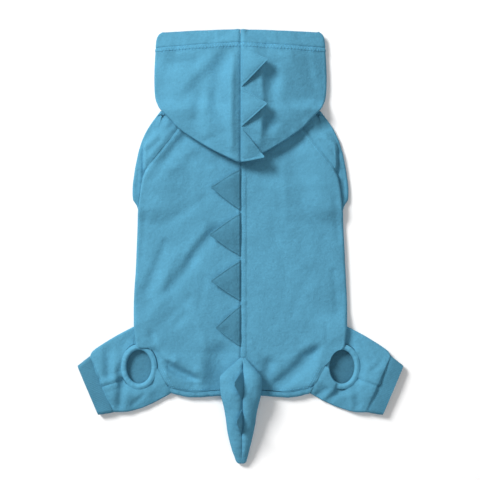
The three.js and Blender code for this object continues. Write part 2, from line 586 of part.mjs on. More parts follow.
// Spikes that lie on a panel: rows of base front y, base rear y, tip x, tip y, lift of the tip
const spikeSizes = { edge: 1.6, root: 2.4, middle: 4.2, bluntness: 0.07 };
function lyingSpike([front, rear, tipX, tipY, lift], topAt, rootX) {
  const outward = Math.sign(tipX);
  const low = [];
  const high = [];
  for (let j = 0; j <= 5; j += 1) {
    const h = j / 5;
    const under = [];
    const over = [];
    for (let i = 0; i <= 6; i += 1) {
      const t = i / 6;
      const spread = lerp(1, spikeSizes.bluntness, h) * (1 + 0.25 * h * (1 - h));
      const middle = plan(lerp(rootX, tipX, h), lerp((front + rear) / 2, tipY, h));
      const x = middle.x + (i === 0 || i === 6 ? -outward * 0.6 * h : 0);
      const y = middle.y + (0.5 - t) * (front - rear) * spread;
      const raise = lift * h ** 1.25;
      const z = topAt(x, y) + SEAM + raise;
      const stuffed = lerp(spikeSizes.root, spikeSizes.middle, smoothstep(h, 0, 0.3)) - spikeSizes.edge;
      const full = stuffed * Math.sin(Math.PI * t) ** 0.7 * (1 - 0.75 * h);
      under.push(new THREE.Vector3(x, y, z));
      over.push(new THREE.Vector3(x, y, z + spikeSizes.edge + full));
    }
    low.push(under);
    high.push(over);
  }
  return shell(high, low);
}
const hoodSpikes = [[245, 197, 33, 230, 8], [194, 148, 32, 175.5, 8], [146, 105.4, 29, 111, 4.5]];
const backSpikes = [[98, 45.6, -35.8, 74, 6.5], [43, -11.4, -37.5, 15.6, 7], [-16, -67, -35.8, -41.6, 6.5],
  [-71.6, -123.5, -30, -99.5, 6]];

// Tail: two stuffed halves with a groove between them, lying over the rear edge onto the floor
const tailSides = smoothTable([[-137.2, -0.5, 6], [-142, -6, 10.5], [-148, -13, 16], [-154, -20, 21.5],
  [-160, -25.2, 25.6], [-166, -25.8, 26.5], [-183, -24.2, 25], [-203, -19.9, 21], [-225, -17, 17.3],
  [-240.6, -13.9, 14], [-256.6, -9.3, 10], [-264, -6.9, 8.3], [-268, -5.4, 7], [-269.8, -3.4, 5]]);
const tailMiddle = smoothTable([[-137, 3], [-270, 1.4]]);
const tailTopAt = smoothTable([[-137, 15.4], [-145, 22], [-156, 28], [-167, 31], [-185, 30.5], [-200, 27.5],
  [-225, 21.5], [-250, 14.5], [-262, 10.5], [-269.8, 7]]);
function tailUnder(y) {
  const onBody = bodyCrown(y) + SEAM + 0.9;
  return lerp(onBody, 0, smoothstep(-y, 188, 206));
}
const GROOVE = 4.2;            // depth of the groove along the tail
const TAIL_RIDGE = 0.32;       // share of a half's width from the groove to its ridge
function grooveTop(y) {
  const sink = GROOVE * smoothstep(-y, 139, 150) * (1 - smoothstep(-y, 250, 268));
  return Math.max(tailTopAt(y) - sink, tailUnder(y) + 2);
}
function tailHalf(sign) {
  const stations = [-137.2, -142, -149, -158, -168, -180, -190, -198, -206, -220, -235, -248, -258, -265, -269.8];
  const rings = stations.map((y) => {
    const middle = tailMiddle(y) + sign * HALF_SEAM;
    const side = tailSides(y, sign < 0 ? 1 : 2);
    const under = tailUnder(y);
    const top = tailTopAt(y);
    const half = (top - under) / 2;
    const points = [new THREE.Vector3(middle, y, under)];
    for (let k = 0; k <= 7; k += 1) {
      const angle = (Math.PI * (k / 7 - 0.5));
      const share = lerp(TAIL_RIDGE, 1, Math.cos(angle));
      points.push(new THREE.Vector3(lerp(middle, side, share), y, under + half * (1 + Math.sin(angle))));
    }
    points.push(new THREE.Vector3(middle, y, grooveTop(y)));
    return points;
  });
  const count = rings[0].length;
  const faces = [];
  for (let j = 0; j < rings.length - 1; j += 1) {
    for (let i = 0; i < count; i += 1) {
      const a = j * count + i;
      const b = j * count + ((i + 1) % count);
      faces.push([a, a + count, b + count], [a, b + count, b]);
    }
  }
  for (let i = 1; i < count - 1; i += 1) {
    faces.push([0, i, i + 1]);
    const end = (rings.length - 1) * count;
    faces.push([end, end + i + 1, end + i]);
  }
  return meshOf(rings.flat(), faces);
}

// Spikes that stand in the tail's groove and lean to the left: base front y, base rear y, tip x, tip y
const tailSpikes = [[-151, -188, -7, -166], [-199, -231.4, -4, -214]];
const TAIL_SPIKE = { tall: 20, thick: 3.4 };
function standingSpike([front, rear, tipX, tipY]) {
  const rings = [0, 0.25, 0.5, 0.75, 1].map((h) => Array.from({ length: 12 }, (_, n) => {
    const angle = (2 * Math.PI * n) / 12;
    const spread = lerp(1, 0.1, h);
    const baseY = lerp(rear, front, 0.5 + 0.5 * Math.cos(angle));
    const y = lerp((front + rear) / 2, tipY, h) + (baseY - (front + rear) / 2) * spread;
    const thick = (TAIL_SPIKE.thick / 2) * Math.sin(angle) * lerp(1, 0.35, h);
    const ground = lerp(grooveTop(y), grooveTop(tipY), h);
    const x = lerp(tailMiddle(y), tipX, h) + thick;
    const settle = 3.6 * (Math.abs(thick) / TAIL_SPIKE.thick) * (1 - h);
    return new THREE.Vector3(x, y, ground + SEAM + settle + TAIL_SPIKE.tall * h);
  }));
  const faces = [];
  for (let j = 0; j < 4; j += 1) {
    for (let n = 0; n < 12; n += 1) {
      const a = j * 12 + n;
      const b = j * 12 + ((n + 1) % 12);
      faces.push([a, a + 12, b + 12], [a, b + 12, b]);
    }
  }
  for (const [start, turn] of [[0, 1], [48, -1]]) {
    const face = (...ids) => faces.push((turn > 0 ? ids : ids.reverse()).map((n) => start + (n % 12)));
    for (let n = 0; n < 6; n += 1) {
      face(n, n + 1, 12 - n);
      face(n + 1, 11 - n, 12 - n);
    }
  }
  return meshOf(rings.flat(), faces);
}

// Materials
const fleece = new THREE.MeshStandardMaterial({ name: 'fleece', color: 0x5897b4, roughness: 0.95 });
const spikeFleece = new THREE.MeshStandardMaterial({ name: 'spike_fleece', color: 0x4f8ba8, roughness: 0.95 });
const rib = new THREE.MeshStandardMaterial({ name: 'rib_knit', color: 0x4b87a5, roughness: 0.9 });
const binding = new THREE.MeshStandardMaterial({ name: 'binding', color: 0x63a2be, roughness: 0.9 });

// The suit
const suit = new THREE.Group();
function add(name, geometry, material) {
  const mesh = new THREE.Mesh(geometry, material);
  mesh.name = name;
  suit.add(mesh);
}
function addPair(name, geometry, material) {
  add(`${name}_right`, geometry, material);
  add(`${name}_left`, mirror(geometry), material);
}

add('back_left', backPanel(-1), fleece);
add('back_right', backPanel(1), fleece);
add('belly', bellyPanel(), fleece);
add('seat_band', seatBand(), fleece);
add('hood_left', hoodPanel(-1), fleece);
add('hood_right', hoodPanel(1), fleece);
addPair('sleeve', sleeve(), fleece);
for (const which of ['front', 'rear']) {
  add(`leg_${which}_right`, legPanel(which, 1), fleece);
  add(`leg_${which}_left`, mirror(legPanel(which, -1)), fleece);
}
addPair('cuff', cuff(), rib);
addPair('thigh_rim', thighRim(), binding);
add('tail_left', tailHalf(-1), fleece);
add('tail_right', tailHalf(1), fleece);
hoodSpikes.forEach((row, k) => add(`spike_hood_${k + 1}`, lyingSpike(row, hoodTop, 1.2), spikeFleece));
backSpikes.forEach((row, k) => add(`spike_back_${k + 1}`, lyingSpike(row, bodyTop, -0.6), spikeFleece));
tailSpikes.forEach((row, k) => add(`spike_tail_${k + 1}`, standingSpike(row), spikeFleece));

export default suit;
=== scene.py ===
"""A hooded dog suit in light blue fleece, with soft spikes and a stuffed tail, laid flat on a floor.

The sizes are in millimetres up to the point where a mesh is made. X runs across, +Y points to the
face opening and +Z is up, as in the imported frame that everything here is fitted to.
"""

import math

import bmesh
import bpy
import numpy as np
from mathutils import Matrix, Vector


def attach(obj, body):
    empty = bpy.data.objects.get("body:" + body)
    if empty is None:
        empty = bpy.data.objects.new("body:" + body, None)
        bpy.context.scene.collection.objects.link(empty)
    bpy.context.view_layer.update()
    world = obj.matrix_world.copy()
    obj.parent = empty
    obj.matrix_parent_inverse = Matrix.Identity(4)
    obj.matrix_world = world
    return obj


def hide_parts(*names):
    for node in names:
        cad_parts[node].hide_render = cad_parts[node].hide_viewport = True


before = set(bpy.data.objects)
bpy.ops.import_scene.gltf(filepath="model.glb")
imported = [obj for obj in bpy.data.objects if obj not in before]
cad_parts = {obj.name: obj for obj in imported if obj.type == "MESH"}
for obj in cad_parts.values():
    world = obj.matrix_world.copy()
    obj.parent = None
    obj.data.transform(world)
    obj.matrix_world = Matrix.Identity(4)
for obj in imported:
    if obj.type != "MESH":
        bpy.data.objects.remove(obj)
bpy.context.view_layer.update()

bl_info = {
    "name": "Spiked dog suit",
    "version": (1, 0, 0),
    "blender": (4, 5, 0),
    "location": "View3D > Sidebar > Dog Suit",
    "description": "Builds a hooded fleece dog suit with spikes and a tail",
    "category": "Object",
}

# Driving sizes, most of them the same as in the part's source
MM = 0.001
WELD = 0.002 * MM             # points nearer than this become one
CLOTH = 2.2                   # wall of the brushed fleece
SEAM = 0.3                    # space kept where two pieces lie beside each other
HALF_SEAM = 0.05              # and to each side of a seam's line
TUCK = 5.0                    # height of two layers pressed flat, one on the other
LAYER_BELOW = 4.9             # a trough stops at this height, above the layer on the floor
TUCKED_LIFT = TUCK + 0.7      # height at which the body rides over a tucked limb
BODY_FOLD = 7                 # height of the body's side folds
NECK_Y = 170                  # neck edge of body and sleeves
HOOD_NECK_Y = 171.8           # neck edge of the hood
FACE_Y = 269.8                # middle of the face edge
HEM_END = 250.4               # inner edge of the hood's turned hem, at the middle
HEM_SIDE = 245.2              # and at the sides
HEM_WIDE = 105.9              # which lie this far out
HEM_ROW = 3                   # the hood's outline row that this edge lies on
HEM_STITCHES = (-2.8, 2.8)    # the hem's two rows of stitches, beside its inner edge
HOOD_TIP_Y = 104.6            # rear tip of the hood
OVER_BODY = 12.8              # height at which the hood lies over the body
HEM_RAISE = 0.8               # second layer of the hem, standing proud
STRIP = {"start": 1.0, "end": 6.6, "raise": 0.8, "front": 104, "rear": -136}
STRIP_STITCHES = (2.1, 5.5)   # rows of stitches on the strip that covers the back seam
HOLE = {"x": 126.3, "y": -149, "rx": 19.2, "ry": 24.6, "wide": 3.75, "high": 3, "z": 7.6}
RIM_TOP = HOLE["z"] + HOLE["high"] + 0.1
OVER_RIM = RIM_TOP + CLOTH    # height of the cloth that lies over the right rim
RIM_COVER = 1.6               # how far a leg's edge reaches in past the rim's outer edge
TAIL_RIDGE = 0.32             # share of a tail half's width between its groove and its ridge
GROOVE = 4.2                  # depth of the tail's groove
CUFF_HEIGHT = 9.6             # rib cuffs of the hind legs
BAND_DEPTH = 7.5              # seat band, from its seam to the rear edge
CREASE_X = 119.5              # crease at which a sleeve folds back
BETWEEN_LAYERS = 2.5          # height between the two layers of a leg
CUT_LOW = -5                  # cutting shapes reach from here
CUT_HIGH = 80                 # to here
FAR = 260                     # and out to here
STITCH = {"gap": 0.9, "sink": 0.12, "thick": 0.32}


# Small helpers


def smoothstep(x, low, high):
    """Rises softly from 0 at low to 1 at high."""
    t = np.clip((np.asarray(x, float) - low) / (high - low), 0, 1)
    return t * t * (3 - 2 * t)


def mix(a, b, t):
    """The value a share t of the way from a to b."""
    return a + (b - a) * t


def hermite(t, first, leave, second, arrive):
    """The smooth curve from first to second that leaves and arrives at the given slopes."""
    return (
        (2 * t**3 - 3 * t**2 + 1) * first + (t**3 - 2 * t**2 + t) * leave
        + (3 * t**2 - 2 * t**3) * second + (t**3 - t**2) * arrive
    )


def smooth_table(rows):
    """A smooth curve through rows that start with the place and go on with one value or more."""
    table = np.array(sorted(rows), float)
    place, values = table[:, 0], table[:, 1:]
    count = len(place)
    before = np.maximum(np.arange(count) - 1, 0)
    after = np.minimum(np.arange(count) + 1, count - 1)
    slopes = (values[after] - values[before]) / (place[after] - place[before])[:, None]

    def at(where, column=0):
        where = np.clip(np.asarray(where, float), place[0], place[-1])
        k = np.clip(np.searchsorted(place, where, side="right") - 1, 0, count - 2)
        span = place[k + 1] - place[k]
        t = (where - place[k]) / span
        leave, arrive = slopes[k, column] * span, slopes[k + 1, column] * span
        return hermite(t, values[k, column], leave, values[k + 1, column], arrive)

    return at


def distance_to(points, x, y):
    """Distance from x, y to a line through the points."""
    best = np.full(np.shape(x), 1e9)
    for (ax, ay), (bx, by) in zip(points[:-1], points[1:]):
        length = math.hypot(bx - ax, by - ay)
        along = np.clip(((x - ax) * (bx - ax) + (y - ay) * (by - ay)) / length**2, 0, 1)
        best = np.minimum(best, np.hypot(x - mix(ax, bx, along), y - mix(ay, by, along)))
    return best


def folds_at(rows, x, y):
    """Soft troughs and ridges: rows of x, y of one end, x, y of the other, half width, height."""
    height = np.zeros(np.shape(x))
    for ax, ay, bx, by, half_width, rise in rows:
        away = distance_to([(ax, ay), (bx, by)], x, y) / half_width
        height = height + rise * np.exp(-away * away)
    return height


def long_folds(rows, x, y):
    """Soft ridges and troughs along drawn lines, with a height at each place of the line."""
    total = 0
    for wide, places in rows:
        places = np.array(places, float)[::-1]
        height = np.interp(y, places[:, 1], places[:, 2])
        total = total + height * np.exp(-((distance_to(places[:, :2], x, y) / wide) ** 2))
    return total


def drift(x, y, size, seed):
    """Smooth seeded noise from -1 to 1, with bumps about as wide as size."""
    lattice = np.random.default_rng(seed).uniform(-1, 1, (64, 64))
    u, v = np.asarray(x, float) / size + 1000, np.asarray(y, float) / size + 1000
    i, j = np.floor(u).astype(int), np.floor(v).astype(int)
    s, t = u - i, v - j
    s, t = s * s * (3 - 2 * s), t * t * (3 - 2 * t)

    def corner(di, dj):
        return lattice[(i + di) % 64, (j + dj) % 64]

    low = mix(corner(0, 0), corner(1, 0), s)
    high = mix(corner(0, 1), corner(1, 1), s)
    return mix(low, high, t)


# Outlines of the right half; the left half mirrors them

body_width = smooth_table([
    (171, 119.5), (105, 119.5), (92.4, 119.5), (79.5, 123.1), (65.8, 125.4), (45.6, 127.5), (8, 129.2),
    (-24, 130.5), (-67, 133), (-99, 132.6), (-121, 130.4), (-150, 128), (-190, 126),
])
body_crown = smooth_table([
    (171, 10.4), (130, 10.8), (95, 12), (0, 12.6), (-100, 13), (-150, 12.4), (-172, 10.4), (-190, 8.6),
])
side_seam = smooth_table([(171, 104), (0, 114), (-67, 118), (-99, 120), (-121, 122), (-190, 122)])
sleeve_edge = smooth_table([
    (171, 99), (163, 105.2), (153, 112.4), (143, 118), (133, 122.6), (123, 126), (113, 128.6),
    (103, 130.6), (93, 132.4), (83, 133.9), (73, 134.8), (59.4, 134.4), (56.1, 132.6), (52, 129.8),
    (45, 127.5),
])
under_raglan = smooth_table([(171, 72), (86, 84), (45, 84)])
rear_edge = smooth_table([(0, -185), (24.4, -185.5), (61, -187.5), (86, -182.5), (95, -178)])
RAGLAN = [
    (56, 175), (60, 171), (77.8, 148.3), (88.8, 133.6), (104.4, 114.4), (115.4, 100.6), (119.6, 92.9),
]
LEG_SEAM = [(132.3, -98.8), (86, -181.8)]
LOBE_END = [(130.4, -121.2), (128, -124), (105, -147)]
LEG_FRONT = [(126, -95.5), (132.3, -98.8), (157, -111.8), (182, -127.9), (187.6, -136)]
LEG_REAR = [(80, -179), (86, -182.3), (112.5, -196.3), (138, -205), (157.6, -206)]
CUFF_END = {"front": (203, -148), "rear": (177, -209.2)}
LEG_SPLIT = [(90, -142), (150, -165.5), (172, -173), (214, -187)]
LOW_SPLIT = [(80, -176), (126, -190), (172, -197), (214, -203)]

BODY_FOLDS = [
    (-33, 17, -87, -54, 11, -1.6), (-91, -1, -116, -58, 9, -1.3), (-66, 139, -106, 102, 9, -1.2),
    (-37, -136, -36, -161, 9, -1.4), (-102, -139, -46, -166, 9, -1.3), (112, -129, 34, -179, 10, -1.5),
    (27, -148, 28, -173, 6, -0.8), (70, 60, 108, 10, 12, -1.0),
]


def outside_leg_seam(x, y):
    """Distance outside the leg seam, less than 0 on the body's side."""
    (ax, ay), (bx, by) = LEG_SEAM
    return ((x - ax) * (ay - by) - (y - ay) * (ax - bx)) / math.hypot(ax - bx, ay - by)


def body_under(signed_x, y):
    """Height of the body's underside, which rides over the tucked sleeves and the legs."""
    x = np.abs(signed_x)
    over_sleeve = smoothstep(x, 70, 79) * smoothstep(y, 30, 42) * (1 - smoothstep(y, 90, 100))
    over_leg = smoothstep(outside_leg_seam(x, y), -9, -1.5) * (1 - smoothstep(y, -96, -84))
    return TUCKED_LIFT * np.maximum(over_sleeve, over_leg * smoothstep(y, -134, -125))


def from_rim(x, y):
    """Distance from the middle of a thigh opening: 1 at the outer edge of its rim."""
    across = (x - HOLE["x"]) / (HOLE["rx"] + HOLE["wide"])
    return np.hypot(across, (y - HOLE["y"]) / (HOLE["ry"] + HOLE["wide"]))


def settled_at_rim(top, signed_x, y):
    """The body's height where it settles beside the left rim and lies over half of the right one."""
    left = mix(HOLE["z"] + 1.7, OVER_RIM, smoothstep(y, -131, -123))
    share = 1 - smoothstep(from_rim(np.abs(signed_x), y), 1.02, 1.6)
    share = share * (1 - smoothstep(y, -126, -106))
    return mix(top, np.where(np.asarray(signed_x) > 0, OVER_RIM, left), share)


def turn_at(x, y):
    """The turn round a thigh opening, in degrees from the garment's outer side."""
    return np.degrees(np.arctan2((y - HOLE["y"]) / HOLE["ry"], (x - HOLE["x"]) / HOLE["rx"])) % 360


def body_cover(turn):
    """How far the body lies over the right rim."""
    return smoothstep(turn, 70, 86) * (1 - smoothstep(turn, 200, 220))


def leg_cover(turn):
    """How far the right leg lies over its rim."""
    return smoothstep(turn, 174, 182) * (1 - smoothstep(turn, 243, 257))


def body_top(signed_x, y):
    """Height of the body's outside: its crown, the limbs below it and its largest folds."""
    x = np.abs(signed_x)
    across = np.minimum(x / body_width(y), 1)
    over_sleeve = smoothstep(x, 62, 108) * smoothstep(y, 26, 52)
    over_leg = smoothstep(outside_leg_seam(x, y), -45, 0) * (1 - smoothstep(y, -96, -70))
    over_leg = over_leg * smoothstep(y, -182, -150)
    lift = TUCKED_LIFT * np.maximum(over_sleeve * (1 - 0.35 * smoothstep(y, 100, 150)), over_leg)
    crown = (body_crown(y) - BODY_FOLD) * (1 - across**2.2)
    top = BODY_FOLD + lift + crown + folds_at(BODY_FOLDS, signed_x, y) * (1 - across**8)
    return settled_at_rim(top, signed_x, y)


# Hood outline: middle y on the crown, edge x and y, end x, y and z of the layer below
HOOD_ROWS = np.array([
    (FACE_Y, 98.2, 267, 0, 267.4, 0), (266.6, 101.9, 264.2, 0, 264.2, 0), (262, 104.2, 259.5, 0, 259, 0),
    (HEM_END, HEM_WIDE, HEM_SIDE, 0, HEM_END, 0),
    (236, 106.7, 233, 0, 236, 0), (222, 107.3, 221, 0, 222, 0), (206, 107.5, 209, 0, 208, 0),
    (190, 107.2, 195, 0, 190, 0), (179, 106.4, 187, 0, HOOD_NECK_Y, 0),
    (173, 105.4, 182.5, 48, HOOD_NECK_Y, 0),
    (167, 103.2, 177.5, 84, HOOD_NECK_Y, 0), (163, 101.4, 173.6, 92, HOOD_NECK_Y, OVER_BODY / 2),
    (158, 98.6, 169.6, 84, HOOD_NECK_Y, OVER_BODY), (152, 92.6, 163.4, 48, HOOD_NECK_Y, OVER_BODY),
    (146, 86.6, 157.6, 0, HOOD_NECK_Y, OVER_BODY), (141, 79, 149, 0, 158, OVER_BODY),
    (134, 64, 137.8, 0, 146, 13.4), (127, 46, 126.2, 0, 134, 15), (119, 27, 115.8, 0, 124, 17.4),
    (114.5, 13, 109.2, 0, 117, 19.4), (112.5, 5.2, 105.8, 0, 114, 20.2),
    (111.5, 0, HOOD_TIP_Y, 0, 112, 20.4),
])
hood_ridge = smooth_table([
    (270, 17), (250, 23), (225, 28.5), (195, 31.5), (160, 32), (135, 30.5), (115, 27.6), (104, 26.4),
])
hood_width = smooth_table([
    (270, 103), (259, 104.2), (245, 106), (209, 107.5), (180, 105), (169, 98.6), (158, 87), (149, 79),
    (138, 64), (126, 46), (116, 27), (109, 13), (104.6, 5),
])
hood_lift = smooth_table([
    (270, 0), (190, 0), (183, 1), (178, 5), (173, 10.5), (169, OVER_BODY), (150, OVER_BODY), (137, 13.6),
    (126, 15.2), (115, 18), (104, 20.6),
])
HOOD_FOLDS = [
    (-6, 248, -62, 190, 10, -2.2), (-72, 208, -78, 200, 12, 1.4), (-50, 205, -54, 150, 9, -1.6),
    (9, 267, 34, 249, 7, -1.4), (36, 214, 36, 216, 8, -2.4), (34, 152, 34, 153, 8, -2.4),
    (16, 240, 22, 130, 9, 1.6), (-12, 235, -10, 125, 7, 1.4),
]


def hood_under(y):
    """Height of the hood's side folds above the floor."""
    return np.maximum(hood_lift(y), 0)


def hood_top(signed_x, y):
    """Height of the hood's outside: its ridge, its fall to the sides and its largest folds."""
    across = np.minimum(np.abs(signed_x) / hood_width(y), 1)
    edge = hood_under(y) + 7
    low = edge + (hood_ridge(y) - edge) * (1 - across**1.7)
    return low + folds_at(HOOD_FOLDS, signed_x, y) * (1 - across**6)


# Meshes from grids of points


def surface_normals(grid, outward, ring=False):
    """Unit directions away from the garment's inside, for a grid of rows and columns."""
    if ring:
        across = np.roll(grid, -1, axis=1) - np.roll(grid, 1, axis=1)
    else:
        wide = np.pad(grid, ((0, 0), (1, 1), (0, 0)), mode="edge")
        across = wide[:, 2:] - wide[:, :-2]
    tall = np.pad(grid, ((1, 1), (0, 0), (0, 0)), mode="edge")
    normals = np.cross(tall[2:] - tall[:-2], across) * outward
    normals[..., 0][np.abs(grid[..., 0]) < SEAM] = 0
    return normals / np.maximum(np.linalg.norm(normals, axis=2, keepdims=True), 1e-12)


def raised(grid, normals, relief):
    """The outside with fine relief, which fades out where the cloth turns down to the floor."""
    facing = smoothstep(normals[..., 2], -0.2, 0.5)
    return grid + normals * (relief * facing)[..., None]


def folded_wall(grid, normals, relief):
    """Both faces of a wall with relief. A deep trough takes the inside along, and stops short of
    the layer below."""
    facing = smoothstep(normals[..., 2], -0.2, 0.5)
    depth = np.maximum(-relief * facing, 0)
    room = np.maximum(grid[..., 2] - LAYER_BELOW, 0.6)
    relief = np.maximum(relief * facing, 0) - depth / (1 + (depth / room) ** 4) ** 0.25
    follow = np.minimum(relief + 0.6, 0) - CLOTH
    return grid + normals * relief[..., None], grid + normals * follow[..., None]


def quads(here, there, i, right):
    """Faces between each row of points and the next, and each column and the one beside it."""
    return np.stack([here + i, there + i, there + right, here + right], -1).reshape(-1, 4)


def shell(outside, inside, ring=False):
    """Two matching grids, outside and inside, joined round their rims, as points and faces."""
    rows, columns = outside.shape[:2]
    inner = rows * columns
    steps = columns if ring else columns - 1
    j, i = np.meshgrid(np.arange(rows - 1), np.arange(steps), indexing="ij")
    right = (i + 1) % columns
    skin = quads(j * columns, (j + 1) * columns, i, right)
    faces = [skin, skin[:, ::-1] + inner]

    def rim(a, b):
        faces.append(np.stack([a, b, b + inner, a + inner], -1))

    k = np.arange(steps)
    rim(k, (k + 1) % columns)
    last = (rows - 1) * columns
    rim(last + (k + 1) % columns, last + k)
    if not ring:
        k = np.arange(rows - 1) * columns
        rim(k + columns, k)
        rim(k + columns - 1, k + 2 * columns - 1)
    return np.concatenate([outside.reshape(-1, 3), inside.reshape(-1, 3)]), np.concatenate(faces)


def placed(name, data):
    """A new object in the scene for a mesh, a lamp or a camera."""
    obj = bpy.data.objects.new(name, data)
    bpy.context.scene.collection.objects.link(obj)
    return obj


def make_object(name, points, faces):
    """A mesh object in metres with its faces pointing out."""
    mesh = bpy.data.meshes.new(name)
    faces = np.asarray(faces)
    points = np.asarray(points, float) * MM
    a, b, c = points[faces[:, 0]], points[faces[:, 1]], points[faces[:, 2]]
    volume = np.einsum("ij,ij->i", a, np.cross(b, c)).sum()
    if faces.shape[1] == 4:
        volume += np.einsum("ij,ij->i", a, np.cross(c, points[faces[:, 3]])).sum()
    if volume < 0:
        faces = faces[:, ::-1]
    mesh.from_pydata(points.tolist(), [], faces.tolist())
    mesh.validate()
    return weld(placed(name, mesh))


def weld(obj):
    """Joins points that lie on each other, such as those where a section closes."""
    bm = bmesh.new()
    bm.from_mesh(obj.data)
    bmesh.ops.remove_doubles(bm, verts=bm.verts, dist=WELD)
    bmesh.ops.dissolve_degenerate(bm, edges=bm.edges, dist=WELD)
    bm.to_mesh(obj.data)
    bm.free()
    return obj


def prism(outline, low=CUT_LOW, high=CUT_HIGH):
    """An upright prism over an outline, as a cutting object."""
    bm = bmesh.new()
    floor = bm.faces.new([bm.verts.new((x * MM, y * MM, low * MM)) for x, y in outline])
    risen = bmesh.ops.extrude_face_region(bm, geom=[floor])["geom"]
    tops = [v for v in risen if isinstance(v, bmesh.types.BMVert)]
    bmesh.ops.translate(bm, verts=tops, vec=(0, 0, (high - low) * MM))
    bmesh.ops.triangulate(bm, faces=bm.faces)
    bmesh.ops.recalc_face_normals(bm, faces=bm.faces)
    mesh = bpy.data.meshes.new("cutter")
    bm.to_mesh(mesh)
    bm.free()
    return placed("cutter", mesh)


def cut(obj, cutters):
    """Takes the cutting objects out of a piece, and keeps its largest part."""
    for cutter in cutters:
        modifier = obj.modifiers.new("cut", "BOOLEAN")
        modifier.operation = "DIFFERENCE"
        modifier.solver = "MANIFOLD"
        modifier.object = cutter
    graph = bpy.context.evaluated_depsgraph_get()
    mesh = bpy.data.meshes.new_from_object(obj.evaluated_get(graph))
    obj.modifiers.clear()
    obj.data = mesh
    for cutter in cutters:
        bpy.data.objects.remove(cutter)
    keep_largest(obj)
    return obj


def tube(name, outside, inside, sign):
    """A flattened tube of cloth for the right side (1) or the left side (-1)."""
    return make_object(name, *shell(outside * (sign, 1, 1), inside * (sign, 1, 1), ring=True))


def keep_largest(obj):
    """Takes away the small scraps that a cut leaves loose."""
    bm = bmesh.new()
    bm.from_mesh(obj.data)
    unseen = set(bm.verts)
    islands = []
    while unseen:
        island = [unseen.pop()]
        for vert in island:
            for edge in vert.link_edges:
                other = edge.other_vert(vert)
                if other in unseen:
                    unseen.discard(other)
                    island.append(other)
        islands.append(island)
    islands.sort(key=len)
    for island in islands[:-1]:
        bmesh.ops.delete(bm, geom=island, context="VERTS")
    bm.to_mesh(obj.data)
    bm.free()


def finish_piece(obj, material, slot_name, *nodes, angle=42):
    """Smooth shading, material, the frame's body, and the replaced nodes hidden; slot_name is not used.
    """
    obj.data.materials.clear()
    obj.data.materials.append(material)
    obj.data.shade_smooth()
    obj.data.set_sharp_from_angle(angle=math.radians(angle))
    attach(obj, "root")
    if nodes:
        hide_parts(*nodes)
    return obj


def mirrored(outline):
    """The same outline on the other side of the garment."""
    return [(-x, y) for x, y in outline][::-1]


def for_side(outline, sign):
    """An outline of the right half, for the right side (1) or the left side (-1)."""
    return outline if sign > 0 else mirrored(outline)


def shifted(outline, dx, dy):
    """The same outline, moved."""
    return [(x + dx, y + dy) for x, y in outline]


def oval_outline(rx, ry):
    """An oval round the middle of the right thigh opening."""
    turns = np.linspace(0, 2 * math.pi, 72, endpoint=False)
    return [(HOLE["x"] + rx * math.cos(a), HOLE["y"] + ry * math.sin(a)) for a in turns]


# Zones that the seams bound, seen from above, for the right half
BEYOND = 40                   # how far the leg seam's line runs on past each end, along Y
SEAM_RUN = BEYOND / (LEG_SEAM[0][1] - LEG_SEAM[1][1])
SEAM_WIDE = LEG_SEAM[0][0] - LEG_SEAM[1][0]
SEAM_START = (LEG_SEAM[0][0] + SEAM_WIDE * SEAM_RUN, LEG_SEAM[0][1] + BEYOND)
SEAM_FINISH = (LEG_SEAM[1][0] - SEAM_WIDE * SEAM_RUN, LEG_SEAM[1][1] - BEYOND)
SLEEVE_ZONE = shifted(RAGLAN, -HALF_SEAM, -HALF_SEAM) + [(FAR, 92.9 - HALF_SEAM), (FAR, 175)]
ARMHOLE_ZONE = [(0, 180), (0, 86), (119.2, 86)] + shifted(RAGLAN, HALF_SEAM, HALF_SEAM)[::-1]
LEG_ZONE = [SEAM_START, (FAR, SEAM_START[1]), (FAR, SEAM_FINISH[1]), SEAM_FINISH]
BODY_END_ZONE = [(FAR, -121.2)] + LOBE_END + shifted([LEG_SEAM[1], SEAM_FINISH], -HALF_SEAM, 0)
BODY_END_ZONE = BODY_END_ZONE + [(FAR, SEAM_FINISH[1])]
RING_PASS = oval_outline(HOLE["rx"] + HOLE["wide"] + 0.6, HOLE["ry"] + HOLE["wide"] + 0.6)
LEFT_RIM = oval_outline(HOLE["rx"] + HOLE["wide"] - 0.5, HOLE["ry"] + HOLE["wide"] - 0.5)
LEFT_RIM = [point for point in LEFT_RIM if point[1] < -124]


def covered_outline(cover, uncovered):
    """An oval at the rim's outer edge that runs in to the opening where cloth covers the rim."""
    places = []
    for turn in np.linspace(0, 2 * math.pi, 144, endpoint=False):
        beyond = mix(uncovered, 1 - HOLE["wide"], float(cover(math.degrees(turn))))
        rx, ry = HOLE["rx"] + beyond, HOLE["ry"] + beyond
        places.append((HOLE["x"] + rx * math.cos(turn), HOLE["y"] + ry * math.sin(turn)))
    return places


RIGHT_RIM = covered_outline(body_cover, HOLE["wide"] - 0.5)
BAND_PLACES = np.linspace(-96, 96, 121)
BAND_SEAM = [(x, float(rear_edge(abs(x))) + BAND_DEPTH) for x in BAND_PLACES]
REAR_ZONE = shifted(BAND_SEAM, 0, HALF_SEAM) + [(FAR, -170), (FAR, -260), (-FAR, -260), (-FAR, -170)]


def seam_channel(away, depth=1.0, width=1.7, swell=0.5):
    """Height beside a sewn seam: a narrow channel with the cloth swelling up next to it."""
    beside = (away - 3.2 * width) / (2 * width)
    return -depth * np.exp(-((away / width) ** 2)) + swell * np.exp(-(beside**2))


def nap(x, y, seed):
    """The uneven lie of brushed cloth: broad soft waves with small tufted lumps."""
    return (
        0.45 * drift(x, y, 30, seed)
        + 0.22 * drift(x, y, 11, seed + 1)
        + 0.10 * drift(x, y, 4.5, seed + 2)
    )


